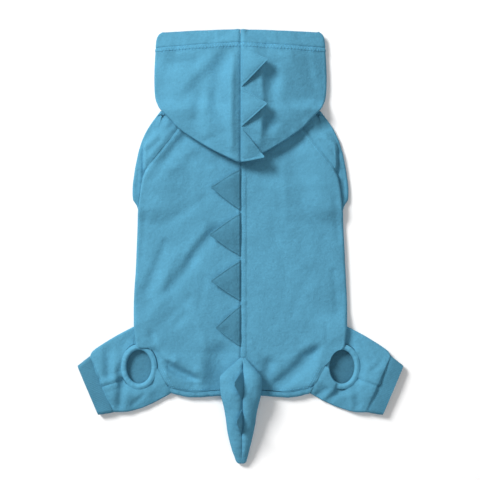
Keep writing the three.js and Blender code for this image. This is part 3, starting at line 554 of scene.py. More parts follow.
def puckers(x, y, line, seed, reach=9.0, pitch=7.0, height=0.4):
    """Short ripples that a seam pulls into the cloth on each side of it."""
    away = distance_to(line, x, y)
    along = drift(y + 0.4 * x, 0.15 * x, pitch, seed)
    return height * along * np.exp(-((away / reach) ** 2))


def bag_section(middle, edge, end, top_at, under_at, counts, radius):
    """One cross-section of a flattened bag: over the top to the edge, round the fold, back below."""
    middle, edge, end = (np.array(p, float) for p in (middle, edge, end))
    out = (edge - middle) / np.linalg.norm(edge - middle)
    bend = edge - out * radius
    top = mix(middle, bend, np.linspace(0, 1, counts["top"], endpoint=False)[:, None])
    top_z = top_at(top[:, 0], top[:, 1])
    high = float(top_at(bend[0], bend[1]))
    low = float(under_at(bend[0], bend[1], 0))
    angle = math.pi * (0.5 - np.linspace(0, 1, counts["bend"] + 1))
    fold = bend + out * (radius * np.cos(angle))[:, None]
    fold_z = (high + low) / 2 + (high - low) / 2 * np.sin(angle)
    share = np.linspace(0, 1, counts["under"] + 1)[1:]
    under = mix(bend, end, share[:, None])
    under_z = under_at(under[:, 0], under[:, 1], share)
    spots = np.concatenate([top, fold, under])
    return np.column_stack([spots, np.concatenate([top_z, fold_z, under_z])])


def flat_ring(start, finish, top_at, counts):
    """Closed section of a flattened tube between two edge points, heights from a share of the way."""
    start, finish = np.array(start, float), np.array(finish, float)
    length = np.linalg.norm(finish - start)
    out = (finish - start) / length
    first = min(float(top_at(0.0)) / 2, 5)
    last = min(float(top_at(1.0)) / 2, 5)
    left, right = start + out * first, finish - out * last

    def bend(centre, high, radius, direction):
        angle = math.pi * (0.5 - np.arange(1, counts["bend"]) / counts["bend"])
        spots = centre + out * (direction * radius * np.cos(angle))[:, None]
        return np.column_stack([spots, high / 2 + direction * high / 2 * np.sin(angle)])

    over = mix(left, right, np.linspace(0, 1, counts["top"] + 1)[:, None])
    shares = np.linalg.norm(over - start, axis=1) / length
    over = np.column_stack([over, top_at(shares)])
    below = mix(right, left, np.linspace(0, 1, counts["under"] + 1)[:, None])
    below = np.column_stack([below, np.zeros(len(below))])
    right_fold = bend(right, over[-1, 2], last, 1)
    left_fold = bend(left, over[0, 2], first, -1)
    return np.concatenate([over, right_fold, below, left_fold])


def spline_point(points, share):
    """A place on a smooth curve through the points, share from 0 to 1."""
    points = np.array(points, float)
    last = len(points) - 1
    p = share * last
    k = min(int(p), last - 1)
    t = p - k
    before, here, there = points[max(k - 1, 0)], points[k], points[k + 1]
    after = points[min(k + 2, last)]
    leave, arrive = (there - before) / 2, (after - here) / 2
    return (
        (2 * here - 2 * there + leave + arrive) * t**3
        + (-3 * here + 3 * there - 2 * leave - arrive) * t**2
        + leave * t
        + here
    )


# Relief on the body: seams, topstitching, creases and the lie of the cloth
SEEN_LEG_SEAM = [(105, -147), LEG_SEAM[1]]
SEAM_LINES = {"raglan": [RAGLAN, mirrored(RAGLAN)], "leg": [SEEN_LEG_SEAM, mirrored(SEEN_LEG_SEAM)]}
BODY_LONG_FOLDS = [
    (5.8, [(-106, -138, 0), (-98, -143, -3.4), (-88, -149, -5.2), (-74, -157, -6), (-63, -163, -4.6),
           (-56, -168, 0)]),
    (7.8, [(94, -130, -4.2), (74, -148, -5.6), (58, -165, -5.6), (38, -180, -4)]),
]
BODY_CREASES = [
    (-32, 20, -62, -14, 6.9, -2.1), (-58, -16, -88, -52, 5.8, -1.8), (-46, 20, -72, -16, 6, 1.1),
    (-94, 4, -116, -52, 5.8, -1.8), (-78, -6, -100, -52, 5, 0.9), (-70, 136, -100, 106, 6.9, -1.7),
    (-84, 118, -108, 84, 5, -0.9), (-56, 124, -84, 96, 6, 0.9), (-24, -134, -26, -178, 12, -6.6),
    (-49, -142, -50, -168, 8, 2.2), (86, -146, 76, -160, 10, -2.2), (-100, -133, -82, -141, 5.4, 1.8),
    (-80, -142, -58, -155, 6.4, 2.6), (84, -122, 60, -140, 6, 1.1), (86, -146, 70, -164, 6.9, 0.5),
    (30, -170, 36, -146, 7, -4.2), (107, -96, 108, -124, 3, -1),
    (74, 56, 104, 14, 5, -1), (60, 120, 84, 70, 6, -0.8), (52, 96, 58, 40, 5, 0.7),
    (118, 60, 122, 10, 4, -0.9), (-118, 40, -123, -10, 4, -0.8), (116, -30, 121, -80, 4, -0.9),
    (40, 20, 58, -30, 5, -0.6), (88, -30, 64, -84, 6, -0.7), (-62, -62, -100, -96, 6, -1),
    (-46, 60, -84, 34, 6, -0.8), (32, -60, 60, -112, 6, -0.6), (-44, -40, -52, -76, 5, -0.7),
    (12, -120, 20, -140, 4, 0.7), (-52, -96, -44, -124, 5, 0.8), (-90, -60, -116, -90, 5, 0.7),
    (-84, -104, -104, -122, 5, 0.8), (48, -100, 66, -124, 5, 0.7), (-110, -108, -110, -130, 4.6, -1.8),
    (101, -128, 78, -136, 5.8, -2.3), (-56, -171, -28, -177, 5.8, -2.1), (75, 133, 52, 121, 8, -2.3),
    (12, 108, 40, 94, 10.3, -1.8), (-30, 104, -60, 112, 7, -1), (-70, -84, -92, -112, 5, -1),
]


def body_relief(x, y):
    """Fine height on the body: nap, folds, seams, the seat band's seam and the covering strip."""
    clear_of_rim = smoothstep(from_rim(np.abs(x), y), 1.2, 1.6)
    folds = folds_at(BODY_CREASES, x, y) + long_folds(BODY_LONG_FOLDS, x, y)
    relief = nap(x, y, 11) + folds * clear_of_rim
    for seam, lines in SEAM_LINES.items():
        deep = 1 if seam == "raglan" else 0.5
        for line in lines:
            away = distance_to(line, x, y)
            relief = relief + seam_channel(away, deep) + puckers(x, y, line, 23, height=0.4 * deep)
    relief = relief + seam_channel(np.abs(x), 0.7, 1.1, 0.3) * (x < 0.5)
    relief = relief + puckers(x, y, [(0, 170), (0, -185)], 31, reach=11, pitch=8, height=0.45)
    band = np.abs(y - (rear_edge(np.abs(x)) + BAND_DEPTH))
    relief = relief + seam_channel(band, 0.9, 1.5)
    relief = relief + 0.3 * drift(x, 0, 6, 37) * np.exp(-((band / 7) ** 2))
    inside_strip = smoothstep(x, STRIP["start"] - 0.2, STRIP["start"] + 0.5)
    inside_strip = inside_strip * (1 - smoothstep(x, STRIP["end"] - 0.5, STRIP["end"] + 0.4))
    along = smoothstep(y, STRIP["rear"] - 0.6, STRIP["rear"])
    along = along * (1 - smoothstep(y, STRIP["front"], STRIP["front"] + 0.6))
    ripple = 1 + 0.25 * drift(y, 0, 5, 41)
    rows = sum(np.exp(-(((x - row) / 0.45) ** 2)) for row in STRIP_STITCHES)
    return relief + inside_strip * along * (STRIP["raise"] * ripple - 0.35 * rows)


def back_panel(name, sign):
    """One half of the back, from the covered seam over the side fold to the belly's edge."""
    stations = np.linspace(NECK_Y, -190, 241)
    grid = []
    for y in stations:
        width = float(body_width(y))
        radius = (body_top(sign * width, y) - body_under(sign * width, y)) / 2
        bend = width - radius
        fine = np.array([HALF_SEAM, 0.8, 1.2, 1.7, 2.1, 2.6, 3.8, 5.0, 5.5, 6.0, 6.5, 7.2, 9])
        tops = np.concatenate([fine, np.linspace(9, bend, 68)[1:-1]])
        section = np.column_stack([sign * tops, np.full(len(tops), y), body_top(sign * tops, y)])
        fold = bag_section(
            (0, y), (sign * width, y), (sign * (float(side_seam(y)) + SEAM), y), body_top,
            lambda x, y, share: body_under(x, y), {"top": 1, "bend": 12, "under": 4}, radius,
        )
        grid.append(np.concatenate([section, fold[1:]]))
    outside = np.array(grid)
    normals = surface_normals(outside, sign)
    relief = body_relief(outside[..., 0], outside[..., 1])
    outside, inside = folded_wall(outside, normals, relief)
    obj = make_object(name, *shell(outside, inside))
    hide_zone = for_side([(0, 200), (0, 90), (FAR, 90), (FAR, 200)], sign)
    return cut(obj, [
        prism(for_side(SLEEVE_ZONE, sign)),
        prism(hide_zone, CUT_LOW, TUCKED_LIFT + 1.2),
        prism(for_side(BODY_END_ZONE, sign)),
        prism(for_side(RING_PASS, sign), CUT_LOW, RIM_TOP),
        prism(for_side(LEFT_RIM if sign < 0 else RIGHT_RIM, sign)),
        prism(for_side(REAR_ZONE, sign)),
    ])


def leg_side(sign):
    """Cutter for all that lies on the leg's side of the leg seam."""
    return prism(for_side(shifted(LEG_ZONE, -HALF_SEAM, 0), sign))


def belly_panel(name):
    """The plain panel on the floor."""
    stations = np.linspace(NECK_Y, -190, 91)
    shares = np.linspace(-1, 1, 81)
    grid = []
    for y in stations:
        x = shares * (float(side_seam(y)) - 4 * SEAM)
        grid.append(np.column_stack([x, np.full(len(x), y), body_under(x, y)]))
    outside = np.array(grid)
    inside = outside + np.array([0, 0, CLOTH])
    obj = make_object(name, *shell(outside, inside))
    front = float(under_raglan(87)) - SEAM
    floor = [(front, 86.5), (float(under_raglan(171)) - SEAM, 175), (FAR, 175), (FAR, 86.5)]
    cutters = [prism(REAR_ZONE)]
    for sign in (1, -1):
        cutters.append(prism(for_side(floor, sign)))
        cutters.append(leg_side(sign))
        cutters.append(prism(for_side(RING_PASS, sign), CLOTH + 0.2, CUT_HIGH))
    return cut(obj, cutters)


def seat_band(name):
    """The narrow band folded round the rear edge."""
    grid = []
    for x in BAND_PLACES:
        edge = float(rear_edge(abs(x)))
        start = edge + BAND_DEPTH - 2 * SEAM
        grid.append(bag_section(
            (x, start), (x, edge), (x, start), body_top,
            lambda x, y, share: np.zeros(np.shape(x)), {"top": 8, "bend": 12, "under": 4}, 4,
        ))
    outside = np.array(grid)
    normals = surface_normals(outside, -1)
    inside = outside - normals * CLOTH
    x, y = outside[..., 0], outside[..., 1]
    relief = nap(x, y, 47) + 0.4 * drift(x, 0, 5, 53) + 0.25 * drift(x, 0, 2.6, 59)
    outside = raised(outside, normals, relief)
    obj = make_object(name, *shell(outside, inside))
    return cut(obj, [leg_side(sign) for sign in (1, -1)])


SLEEVE_CREASES = [
    (98, 166, 102, 150, 7, -5),
    (84, 152, 100, 140, 3.5, -0.9), (101, 132, 116, 118, 3.2, -0.8), (126, 96, 130, 72, 2.6, -0.7),
    (92, 150, 108, 128, 5, 0.5), (122, 112, 127, 84, 2.2, 0.5),
]


def sleeve_top(x, y):
    """Height of the sleeve: level with the body at the seam, and a flat lobe past the crease."""
    sharp = 1 - smoothstep(y, 124, 142)
    near = mix(100, CREASE_X - 1.5, sharp)
    far = mix(sleeve_edge(y) - 1, CREASE_X + 2.5, sharp)
    cap = (1 - smoothstep((x - near) / (far - near), 0, 1)) * smoothstep(y, 91.5, 97)
    lobe = TUCK + 1.3 * smoothstep(x, CREASE_X + 1, CREASE_X + 6)
    return mix(lobe, np.maximum(body_top(x, y), lobe), cap)


def sleeve(name, sign):
    """A flattened sleeve, folded back under the body with a lobe showing outside the crease."""
    grid = []
    for y in np.linspace(NECK_Y, 45, 63):
        left, right = float(under_raglan(y)), float(sleeve_edge(y))
        grid.append(flat_ring(
            (left, y), (right, y), lambda share: sleeve_top(mix(left, right, share), y),
            {"top": 36, "bend": 9, "under": 6},
        ))
    outside = np.array(grid)
    normals = surface_normals(outside, 1, ring=True)
    x, y = outside[..., 0], outside[..., 1]
    relief = nap(x, y, 61 + sign) + seam_channel(distance_to(RAGLAN, x, y))
    relief = relief + puckers(x, y, RAGLAN, 67 + sign) + folds_at(SLEEVE_CREASES, x, y)
    outside, inside = folded_wall(outside, normals, relief)
    obj = tube(name, outside, inside, sign)
    overlap = [(0, 95), (0, 40), (128.6, 40), (126, 66), (123.7, 80), (120.2, 93.2)]
    return cut(obj, [
        prism(for_side(ARMHOLE_ZONE, sign), CLOTH + 0.2, CUT_HIGH),
        prism(for_side(overlap, sign), TUCK + 0.1, CUT_HIGH),
    ])


leg_height = smooth_table([(0, 6.2), (0.25, 6.6), (0.5, 8), (0.75, 8.2), (1, 4.4)])


def leg_grid(sign):
    """The hind leg as a flattened tube, puffed up and gathered into the rib cuff."""
    rings = []
    for u in np.linspace(0, 1, 80):
        low = mix(TUCK, 8.4, float(smoothstep(u, 0.6, 0.95)))
        first, final = spline_point(LEG_FRONT, u), spline_point(LEG_REAR, u)

        def top_at(v):
            v = np.clip(np.asarray(v, float), 0, 1)
            rise = np.maximum(np.sin(math.pi * v), 0) ** 0.8
            clear = mix(smoothstep(u, 0.3, 0.7), 1, smoothstep(v, 0.24, 0.5))
            gather = 0.7 * np.sin(v * math.pi * 9) * smoothstep(u, 0.6, 0.9)
            fine = 0.9 * np.sin(v * 61 + 3 * np.sin(v * 9 + sign)) * smoothstep(u, 0.82, 0.96)
            close = mix(1, 0.42, smoothstep(u, 0.93, 1))
            own = low + rise * leg_height(u) * clear * close + (0.35 * gather + 0.2 * fine) * rise
            x, y = mix(first[0], final[0], v), mix(first[1], final[1], v)
            out_of_lobe = 1 - smoothstep(y, -134, -124)
            at_rim = (1 - smoothstep(from_rim(x, y), 1, 1.4)) * out_of_lobe
            at_seam = (1 - smoothstep(outside_leg_seam(x, y), 0, 14)) * out_of_lobe
            beside = mix(HOLE["z"] + 1.2, OVER_RIM, leg_cover(turn_at(x, y)) * (sign > 0))
            return mix(mix(own, beside, at_rim), body_top(sign * x, y), at_seam)

        rings.append(flat_ring(first, final, top_at, {"top": 76, "bend": 9, "under": 12}))
    rings = np.array(rings)
    front, rear = np.array(LEG_FRONT[-1]), np.array(LEG_REAR[-1])
    away = np.array([front[1] - rear[1], rear[0] - front[0], 0]) / np.linalg.norm(rear - front)
    rolled = [rings]
    for ahead, drop in ((0.7, 0.25), (1.2, 0.8), (1.5, 1.7), (1.6, 2.8)):
        over = smoothstep(rings[-1][:, 2], 2.5, 6)[:, None]
        row = rings[-1] + away * ahead * over - np.array([0, 0, drop]) * over
        rolled.append(row[None])
    grid = np.concatenate(rolled)
    count = len(grid)
    along = np.linalg.norm(grid[..., :2] - rear, axis=-1)
    near_end = smoothstep(np.arange(count) / count, 0.86, 1.0)[:, None]
    wave = 0.4 * drift(along, 0, 13, 91 + sign) + 0.1 * drift(along, 0, 5, 95 + sign)
    return grid + away * (wave * near_end * smoothstep(grid[..., 2], 2.5, 6))[..., None]


LEG_CREASES = {
    -1: [
        (165, -130, 163.5, -158, 6, -3.8), (157, -154, 152, -142, 5, 1.2),
        (147, -168, 149, -197, 6, -3.4), (141, -180, 145, -198, 5, 1.0),
        (120, -184, 134, -196, 3.6, -1.2), (176, -165, 180, -176, 3, -1.1),
        (112, -168, 104, -182, 5, -1.2), (136, -106, 146, -122, 4, -0.8),
    ],
    1: [
        (126, -178, 111, -190.4, 4.5, -2.4), (106, -178, 96, -186, 4, -1.8),
        (112, -180, 102, -190, 4, 1.0), (137.5, -179, 138, -198, 4, 1.2),
        (144, -178, 146, -197, 4, -1.2), (166, -152, 175, -143, 4, -1.0),
        (150, -120, 164, -140, 3.6, -0.9), (158, -150, 170, -162, 5, 0.8),
        (137, -112, 139, -124, 4, -1.4),
    ],
}


def leg_panel(name, which, sign):
    """The front or the rear panel of a hind leg, cut from the whole tube at its two split seams."""
    outside = leg_grid(sign)
    normals = surface_normals(outside, -1, ring=True)
    x, y = outside[..., 0], outside[..., 1]
    seed = 71 if which == "front" else 79
    relief = nap(x, y, seed + sign) + folds_at(LEG_CREASES[sign], x, y)
    for line, deep in ((SEEN_LEG_SEAM, 0.5), (LEG_SPLIT, 1)):
        relief = relief + seam_channel(distance_to(line, x, y), deep) + puckers(x, y, line, seed + 3)
    outside, inside = folded_wall(outside, normals, relief)
    obj = tube(name, outside, inside, sign)
    side = 1 if which == "front" else -1
    line = shifted(LEG_SPLIT, 0, side * HALF_SEAM)
    low_line = shifted(LOW_SPLIT, 0, side * HALF_SEAM)
    away = [(214, -260), (90, -260)] if which == "front" else [(214, -60), (90, -60)]
    body_side = [SEAM_START, SEAM_FINISH, (0, SEAM_FINISH[1]), (0, SEAM_START[1])]
    reach = HOLE["wide"] - RIM_COVER
    rim = oval_outline(HOLE["rx"] + reach, HOLE["ry"] + reach)
    if sign > 0:
        rim = covered_outline(leg_cover, reach)
    under_lobe = [(60, -80), (60, -121.6), (133.4, -121.6), (133.6, -80)]
    return cut(obj, [
        prism(for_side(line + away, sign), BETWEEN_LAYERS, CUT_HIGH),
        prism(for_side(low_line + away, sign), CUT_LOW, BETWEEN_LAYERS),
        prism(for_side(shifted(body_side, HALF_SEAM, 0), sign)),
        prism(for_side(rim, sign), CLOTH + 0.2, CUT_HIGH),
        prism(for_side(RING_PASS, sign), CLOTH + 0.2, HOLE["z"]),
        prism(for_side(under_lobe, sign), TUCK + 0.1, CUT_HIGH),
    ])


def cuff(name, sign):
    """Rib knit: fine ridges run from the leg to the open end."""
    front, rear = np.array(LEG_FRONT[-1]), np.array(LEG_REAR[-1])
    line = (rear - front) / np.linalg.norm(rear - front)
    away = np.array([-line[1], line[0]])
    away = away if away[0] > 0 else -away
    gap = away * 2 * SEAM
    front_end, rear_end = (np.array(CUFF_END[which]) for which in ("front", "rear"))
    rings = []
    for t in np.linspace(0, 1, 15):
        rings.append(flat_ring(
            mix(front + gap, front_end, t), mix(rear + gap, rear_end, t),
            lambda v: CUFF_HEIGHT + 0.6 * np.sin(math.pi * np.clip(v, 0, 1)),
            {"top": 150, "bend": 24, "under": 30},
        ))
    outside = np.array(rings)
    normals = surface_normals(outside, -1, ring=True)
    inside = outside - normals * CLOTH
    x, y = outside[..., 0], outside[..., 1]
    along = (x - front[0]) * line[0] + (y - front[1]) * line[1]
    ribs = 0.16 * np.cos(along * 2 * math.pi / 2.2)
    rows = np.linspace(0, 1, 15)[:, None]
    waist = -0.5 * np.exp(-((rows / 0.12) ** 2)) + 0.25 * np.sin(math.pi * rows)
    waist = waist + 0.3 * drift(along, 0, 14, 83)
    outside = raised(outside, normals, ribs + waist)
    return tube(name, outside, inside, sign)


def closed_rings(rings, cyclic=False):
    """Points and faces of a solid made of matching rings, with flat ends or closed on itself."""
    rings = np.asarray(rings)
    count, size = rings.shape[:2]
    steps = count if cyclic else count - 1
    j, i = np.meshgrid(np.arange(steps), np.arange(size), indexing="ij")
    following, right = (j + 1) % count, (i + 1) % size
    faces = quads(j * size, following * size, i, right).tolist()
    if not cyclic:
        faces.append(list(range(size)))
        faces.append([(count - 1) * size + k for k in range(size)][::-1])
    return rings.reshape(-1, 3), faces


def object_from(name, points, faces):
    """A mesh object in metres from faces of any length, with its faces pointing out."""
    mesh = bpy.data.meshes.new(name)
    mesh.from_pydata((np.asarray(points, float) * MM).tolist(), [], faces)
    mesh.validate()
    bm = bmesh.new()
    bm.from_mesh(mesh)
    bmesh.ops.remove_doubles(bm, verts=bm.verts, dist=WELD)
    bmesh.ops.recalc_face_normals(bm, faces=bm.faces)
    if bm.calc_volume(signed=True) < 0:
        bmesh.ops.reverse_faces(bm, faces=bm.faces)
    bm.to_mesh(mesh)
    bm.free()
    return placed(name, mesh)


def thigh_rim(name, sign):
    """The bound edge of the opening: a soft tube with a stitched channel and small gathers."""
    rings = []
    for turn in np.linspace(0, 2 * math.pi, 144, endpoint=False):
        across = np.array([math.cos(turn), math.sin(turn)])
        gather = 0.25 * float(drift(turn * 30, 0, 3.2, 89 + sign))
        gather = gather + 0.2 * float(drift(turn * 30, 0, 9, 97))
        ring = []
        for turned in np.linspace(0, 2 * math.pi, 28, endpoint=False):
            on_top = max(math.sin(turned), 0)
            channel = -0.5 * math.exp(-(((math.cos(turned) - 0.45) / 0.14) ** 2)) * on_top
            wide = (HOLE["wide"] + 0.3 * gather * on_top) * math.cos(turned)
            high = (HOLE["high"] + (gather + channel) * (on_top > 0)) * math.sin(turned)
            ring.append((
                sign * (HOLE["x"] + (HOLE["rx"] + wide) * across[0]),
                HOLE["y"] + (HOLE["ry"] + wide) * across[1],
                HOLE["z"] + high,
            ))
        rings.append(ring)
    return object_from(name, *closed_rings(rings, cyclic=True))


def fine_hood_rows():
    """The hood's outline rows spread evenly along its edge, closer at the hem's stitching."""
    steps = np.diff(HOOD_ROWS, axis=0)
    run = np.maximum(np.abs(steps[:, 0]), np.hypot(steps[:, 1], steps[:, 2]))
    place = np.concatenate([[0], np.cumsum(run)])
    delta = steps / np.diff(place)[:, None]
    slopes = np.zeros(HOOD_ROWS.shape)
    before, after = delta[:-1], delta[1:]
    same = before * after > 0
    slopes[1:-1] = np.where(same, 2 * before * after / np.where(same, before + after, 1), 0)
    slopes[0], slopes[-1] = delta[0], delta[-1]
    hem = place[HEM_ROW]
    where = np.unique(np.concatenate([
        np.linspace(0, hem - 4.5, 10), np.linspace(hem - 4.5, hem + 5.5, 23),
        np.linspace(hem + 5.5, place[-1], 125),
    ]))
    k = np.clip(np.searchsorted(place, where, side="right") - 1, 0, len(place) - 2)
    span = (place[k + 1] - place[k])[:, None]
    t = ((where - place[k])[:, None]) / span
    return hermite(t, HOOD_ROWS[k], slopes[k] * span, HOOD_ROWS[k + 1], slopes[k + 1] * span)


HOOD_CREASES = [
    (-44, 241, -56, 224, 6, -1.0), (-14, 264, -40, 254, 4, -0.8), (10, 266, 32, 252, 4, -1.2),
    (33, 251, 46, 242, 4, -0.8), (-88, 236, -96, 200, 6, -1.1), (84, 232, 92, 196, 5, -0.9),
    (62, 236, 74, 206, 6, 0.8), (58, 180, 76, 160, 5, -0.9), (40, 158, 62, 146, 4.5, -0.8),
    (-80, 176, -60, 156, 4.5, -1.0), (-20, 140, -44, 132, 4.5, -0.8), (22, 138, 40, 130, 4, -0.8),
    (-82, 230, -58, 231, 6.5, -2.6), (70, 262, 82, 246, 4, -0.8), (-76, 266, -72, 252, 3.5, -0.7),
    (46, 268, 50, 254, 3.5, -0.6), (-30, 268, -28, 254, 3.5, 0.5), (90, 180, 78, 168, 4, 0.7),
]
HOOD_LONG_FOLDS = [
    (5, [(-8, 246, 0), (-9, 236, 2.6), (-11, 205, 3.6), (-11.5, 160, 3.4), (-10, 124, 2), (-9, 108, 0)]),
    (11, [(-16, 246, 0), (-21, 234, -3), (-28, 216, -6), (-31, 195, -6.6), (-29, 165, -4.4),
          (-23, 138, 0)]),
    (4.2, [(23, 232, 0), (25, 218, 2), (27, 185, 1.6), (26, 150, 2), (24.5, 122, 0)]),
    (9, [(41, 234, 0), (41, 212, -5), (40, 200, -4.6), (39, 182, -1.8), (38, 164, -3.4), (37.5, 152, -5),
         (36, 134, 0)]),
    (9, [(-40, 236, 0), (-52, 220, 1), (-62, 204, 1), (-70, 188, 0)]),
    (6, [(-46, 204, 0), (-51, 184, -1.8), (-54, 166, -1.5), (-56, 150, 0)]),
]


def hem_line(x):
    """Where the end of the hood's hem runs."""
    return mix(HEM_END, HEM_SIDE, np.clip(np.abs(x) / HEM_WIDE, 0, 1))


def hood_relief(x, y):
    """Fine height on the hood: nap, folds, the crown seam and the turned hem with its stitches."""
    relief = nap(x, y, 101) + folds_at(HOOD_CREASES, x, y) + long_folds(HOOD_LONG_FOLDS, x, y)
    relief = relief + seam_channel(np.abs(x), 1.1, 1.3, 0.4)
    relief = relief + puckers(x, y, [(0, 270), (0, 104)], 103, reach=12, pitch=8, height=0.5)
    away = y - hem_line(x)
    relief = relief + HEM_RAISE * smoothstep(away, -4.4, -3)
    for row in HEM_STITCHES:
        relief = relief - 0.8 * np.exp(-(((away - row) / 0.8) ** 2))
    ripple = 0.45 * drift(x, 0, 9, 107) + 0.3 * drift(x, 0, 4.5, 109)
    return relief + ripple * np.exp(-((away / 9) ** 2))


def hood_panel(name, sign):
    """One half of the hood, from the crown seam round the side and back below."""
    counts = {"top": 66, "bend": 12, "under": 20}
    grid = []
    for middle_y, edge_x, edge_y, end_x, end_y, end_z in fine_hood_rows():
        height = float(hood_top(edge_x, edge_y) - hood_under(edge_y))
        rise = float(hood_under(edge_y))
        grid.append(bag_section(
            (sign * HALF_SEAM, middle_y), (sign * max(edge_x, HALF_SEAM), edge_y),
            (sign * max(end_x, HALF_SEAM), end_y), hood_top,
            lambda x, y, share: mix(rise, end_z, share), counts, min(height / 2, 4),
        ))
    outside = np.array(grid)
    normals = surface_normals(outside, sign)
    on_top = np.arange(outside.shape[1])[None, :] < counts["top"] + counts["bend"] / 2
    relief = hood_relief(outside[..., 0], outside[..., 1]) * on_top
    return make_object(name, *shell(*folded_wall(outside, normals, relief)))


SPIKE = {"edge": 1.6, "root": 2.4, "middle": 4.2, "blunt": 0.07}


def lying_spike(name, row, top_at, root_x, seed):
    """A stuffed spike lying on a panel, sewn in along its root, with its seam round the edge."""
    front, rear, tip_x, tip_y, lift = row
    outward = np.sign(tip_x)
    down = 1 - np.cos(np.linspace(0, math.pi / 2, 40))
    across = 0.5 - 0.5 * np.cos(np.linspace(0, math.pi, 61))
    h, t = np.meshgrid(down, across, indexing="ij")
    spread = mix(1, SPIKE["blunt"], h) * (1 + 0.25 * h * (1 - h))
    inset = np.exp(-((np.minimum(t, 1 - t) / 0.04) ** 2))
    x = mix(root_x, tip_x, h) - outward * 0.6 * h * inset
    y = mix((front + rear) / 2, tip_y, h) + (0.5 - t) * (front - rear) * spread
    ground = top_at(x, y) + SEAM + lift * h**1.25
    stuffed = mix(SPIKE["root"], SPIKE["middle"], smoothstep(h, 0, 0.3)) - SPIKE["edge"]
    full = stuffed * np.maximum(np.sin(math.pi * t), 0) ** 0.7 * (1 - 0.75 * h)
    soft = smoothstep(np.minimum(t, 1 - t), 0.02, 0.2) * smoothstep(1 - h, 0, 0.12)
    lumps = 0.4 * drift(x, y, 14, seed) + 0.15 * drift(x, y, 6, seed + 1)
    root = 0.12 * np.sin(y * 1.35 + 2 * drift(y, 0, 7, seed + 2)) * np.exp(-((h / 0.1) ** 2))
    bulge = (lumps + root) * soft + 0.15 * nap(x, y, seed + 3)
    inner = np.minimum(t, 1 - t) * (front - rear) * spread * 0.8
    bulge = bulge + 0.35 * np.exp(-(((inner - 0.9) / 0.7) ** 2))
    bulge = bulge - 0.25 * np.exp(-(((inner - 2.6) / 0.9) ** 2))
    rolled = smoothstep(np.abs(x - root_x), 0, 2.2)
    low = np.stack([x, y, ground], -1)
    high = np.stack([x, y, ground + mix(0.25, SPIKE["edge"] + full + bulge, rolled)], -1)
    return make_object(name, *shell(high, low))


# Spikes on a panel: rows of root front y, root rear y, tip x, tip y, lift of the tip
HOOD_SPIKES = [(245, 197, 33, 230, 8), (194, 148, 32, 175.5, 8), (146, 105.4, 29, 111, 4.5)]
BACK_SPIKES = [
    (98, 45.6, -35.8, 74, 6.5), (43, -11.4, -37.5, 15.6, 7), (-16, -67, -35.8, -41.6, 6.5),
    (-71.6, -123.5, -30, -99.5, 6),
]
# Spikes in the tail's groove: rows of root front y, root rear y, tip x, tip y
TAIL_SPIKES = [(-151, -188, -7, -166), (-199, -231.4, -4, -214)]
TAIL_SPIKE = {"tall": 20, "thick": 3.4}
tail_sides = smooth_table([
    (-137.2, -0.5, 6), (-142, -6, 10.5), (-148, -13, 16), (-154, -20, 21.5), (-160, -25.2, 25.6),
    (-166, -25.8, 26.5), (-183, -24.2, 25), (-203, -19.9, 21), (-225, -17, 17.3), (-240.6, -13.9, 14),
    (-256.6, -9.3, 10), (-264, -6.9, 8.3), (-268, -5.4, 7), (-269.8, -3.4, 5),
])
tail_middle = smooth_table([(-137, 3), (-270, 1.4)])
tail_top = smooth_table([
    (-137, 15.4), (-145, 22), (-156, 28), (-167, 31), (-185, 30.5), (-200, 27.5), (-225, 21.5),
    (-250, 14.5), (-262, 10.5), (-269.8, 7),
])


def tail_under(y):
    """Height of the tail's underside, which lies on the body and then on the floor."""
    return mix(body_crown(y) + SEAM + 0.9, 0, smoothstep(-np.asarray(y, float), 188, 206))


def groove_top(y):
    """Height of the bottom of the tail's groove."""
    down = -np.asarray(y, float)
    sink = GROOVE * smoothstep(down, 139, 150) * (1 - 0.7 * smoothstep(down, 229, 238))
    sink = sink * (1 - smoothstep(down, 250, 268))
    return np.maximum(tail_top(y) - sink, tail_under(y) + 2)


def tail_half(name, sign):
    """One stuffed half of the tail, from its root on the back down to the floor."""
    rings = []
    for y in np.linspace(-137.2, -269.8, 84):
        middle = float(tail_middle(y)) + sign * HALF_SEAM
        side = float(tail_sides(y, 0 if sign < 0 else 1))
        under, top = float(tail_under(y)), float(tail_top(y))
        half = (top - under) / 2
        ripple = math.sin(y * 0.7 + 2.6 * float(drift(y, 0, 9, 131)))
        ring = [(middle, y, under)]
        for k in range(29):
            angle = math.pi * (k / 28 - 0.5)
            share = mix(TAIL_RIDGE, 1, math.cos(angle))
            x = mix(middle, side, share)
            above = max(math.sin(angle), 0)
            lump = 0.7 * float(drift(x + 40 * sign, y, 12, 113)) + 0.35 * float(drift(x, y, 5, 127))
            pull = 0.3 * ripple * math.exp(-(((x - middle) / 6) ** 2))
            z = under + half * (1 + math.sin(angle)) + (lump + pull) * above
            ring.append((x + sign * 0.5 * lump * (1 - above), y, z))
        base = float(groove_top(y))
        for share, sunk in ((0.7, 0.05), (0.42, 0.2), (0.2, 0.5), (0.08, 0.75)):
            x = mix(middle, side, TAIL_RIDGE * share)
            ring.append((x, y, mix(top, base, sunk) + 0.25 * ripple * (1 - sunk)))
        ring.append((middle, y, base))
        rings.append(ring)
    return object_from(name, *closed_rings(rings))


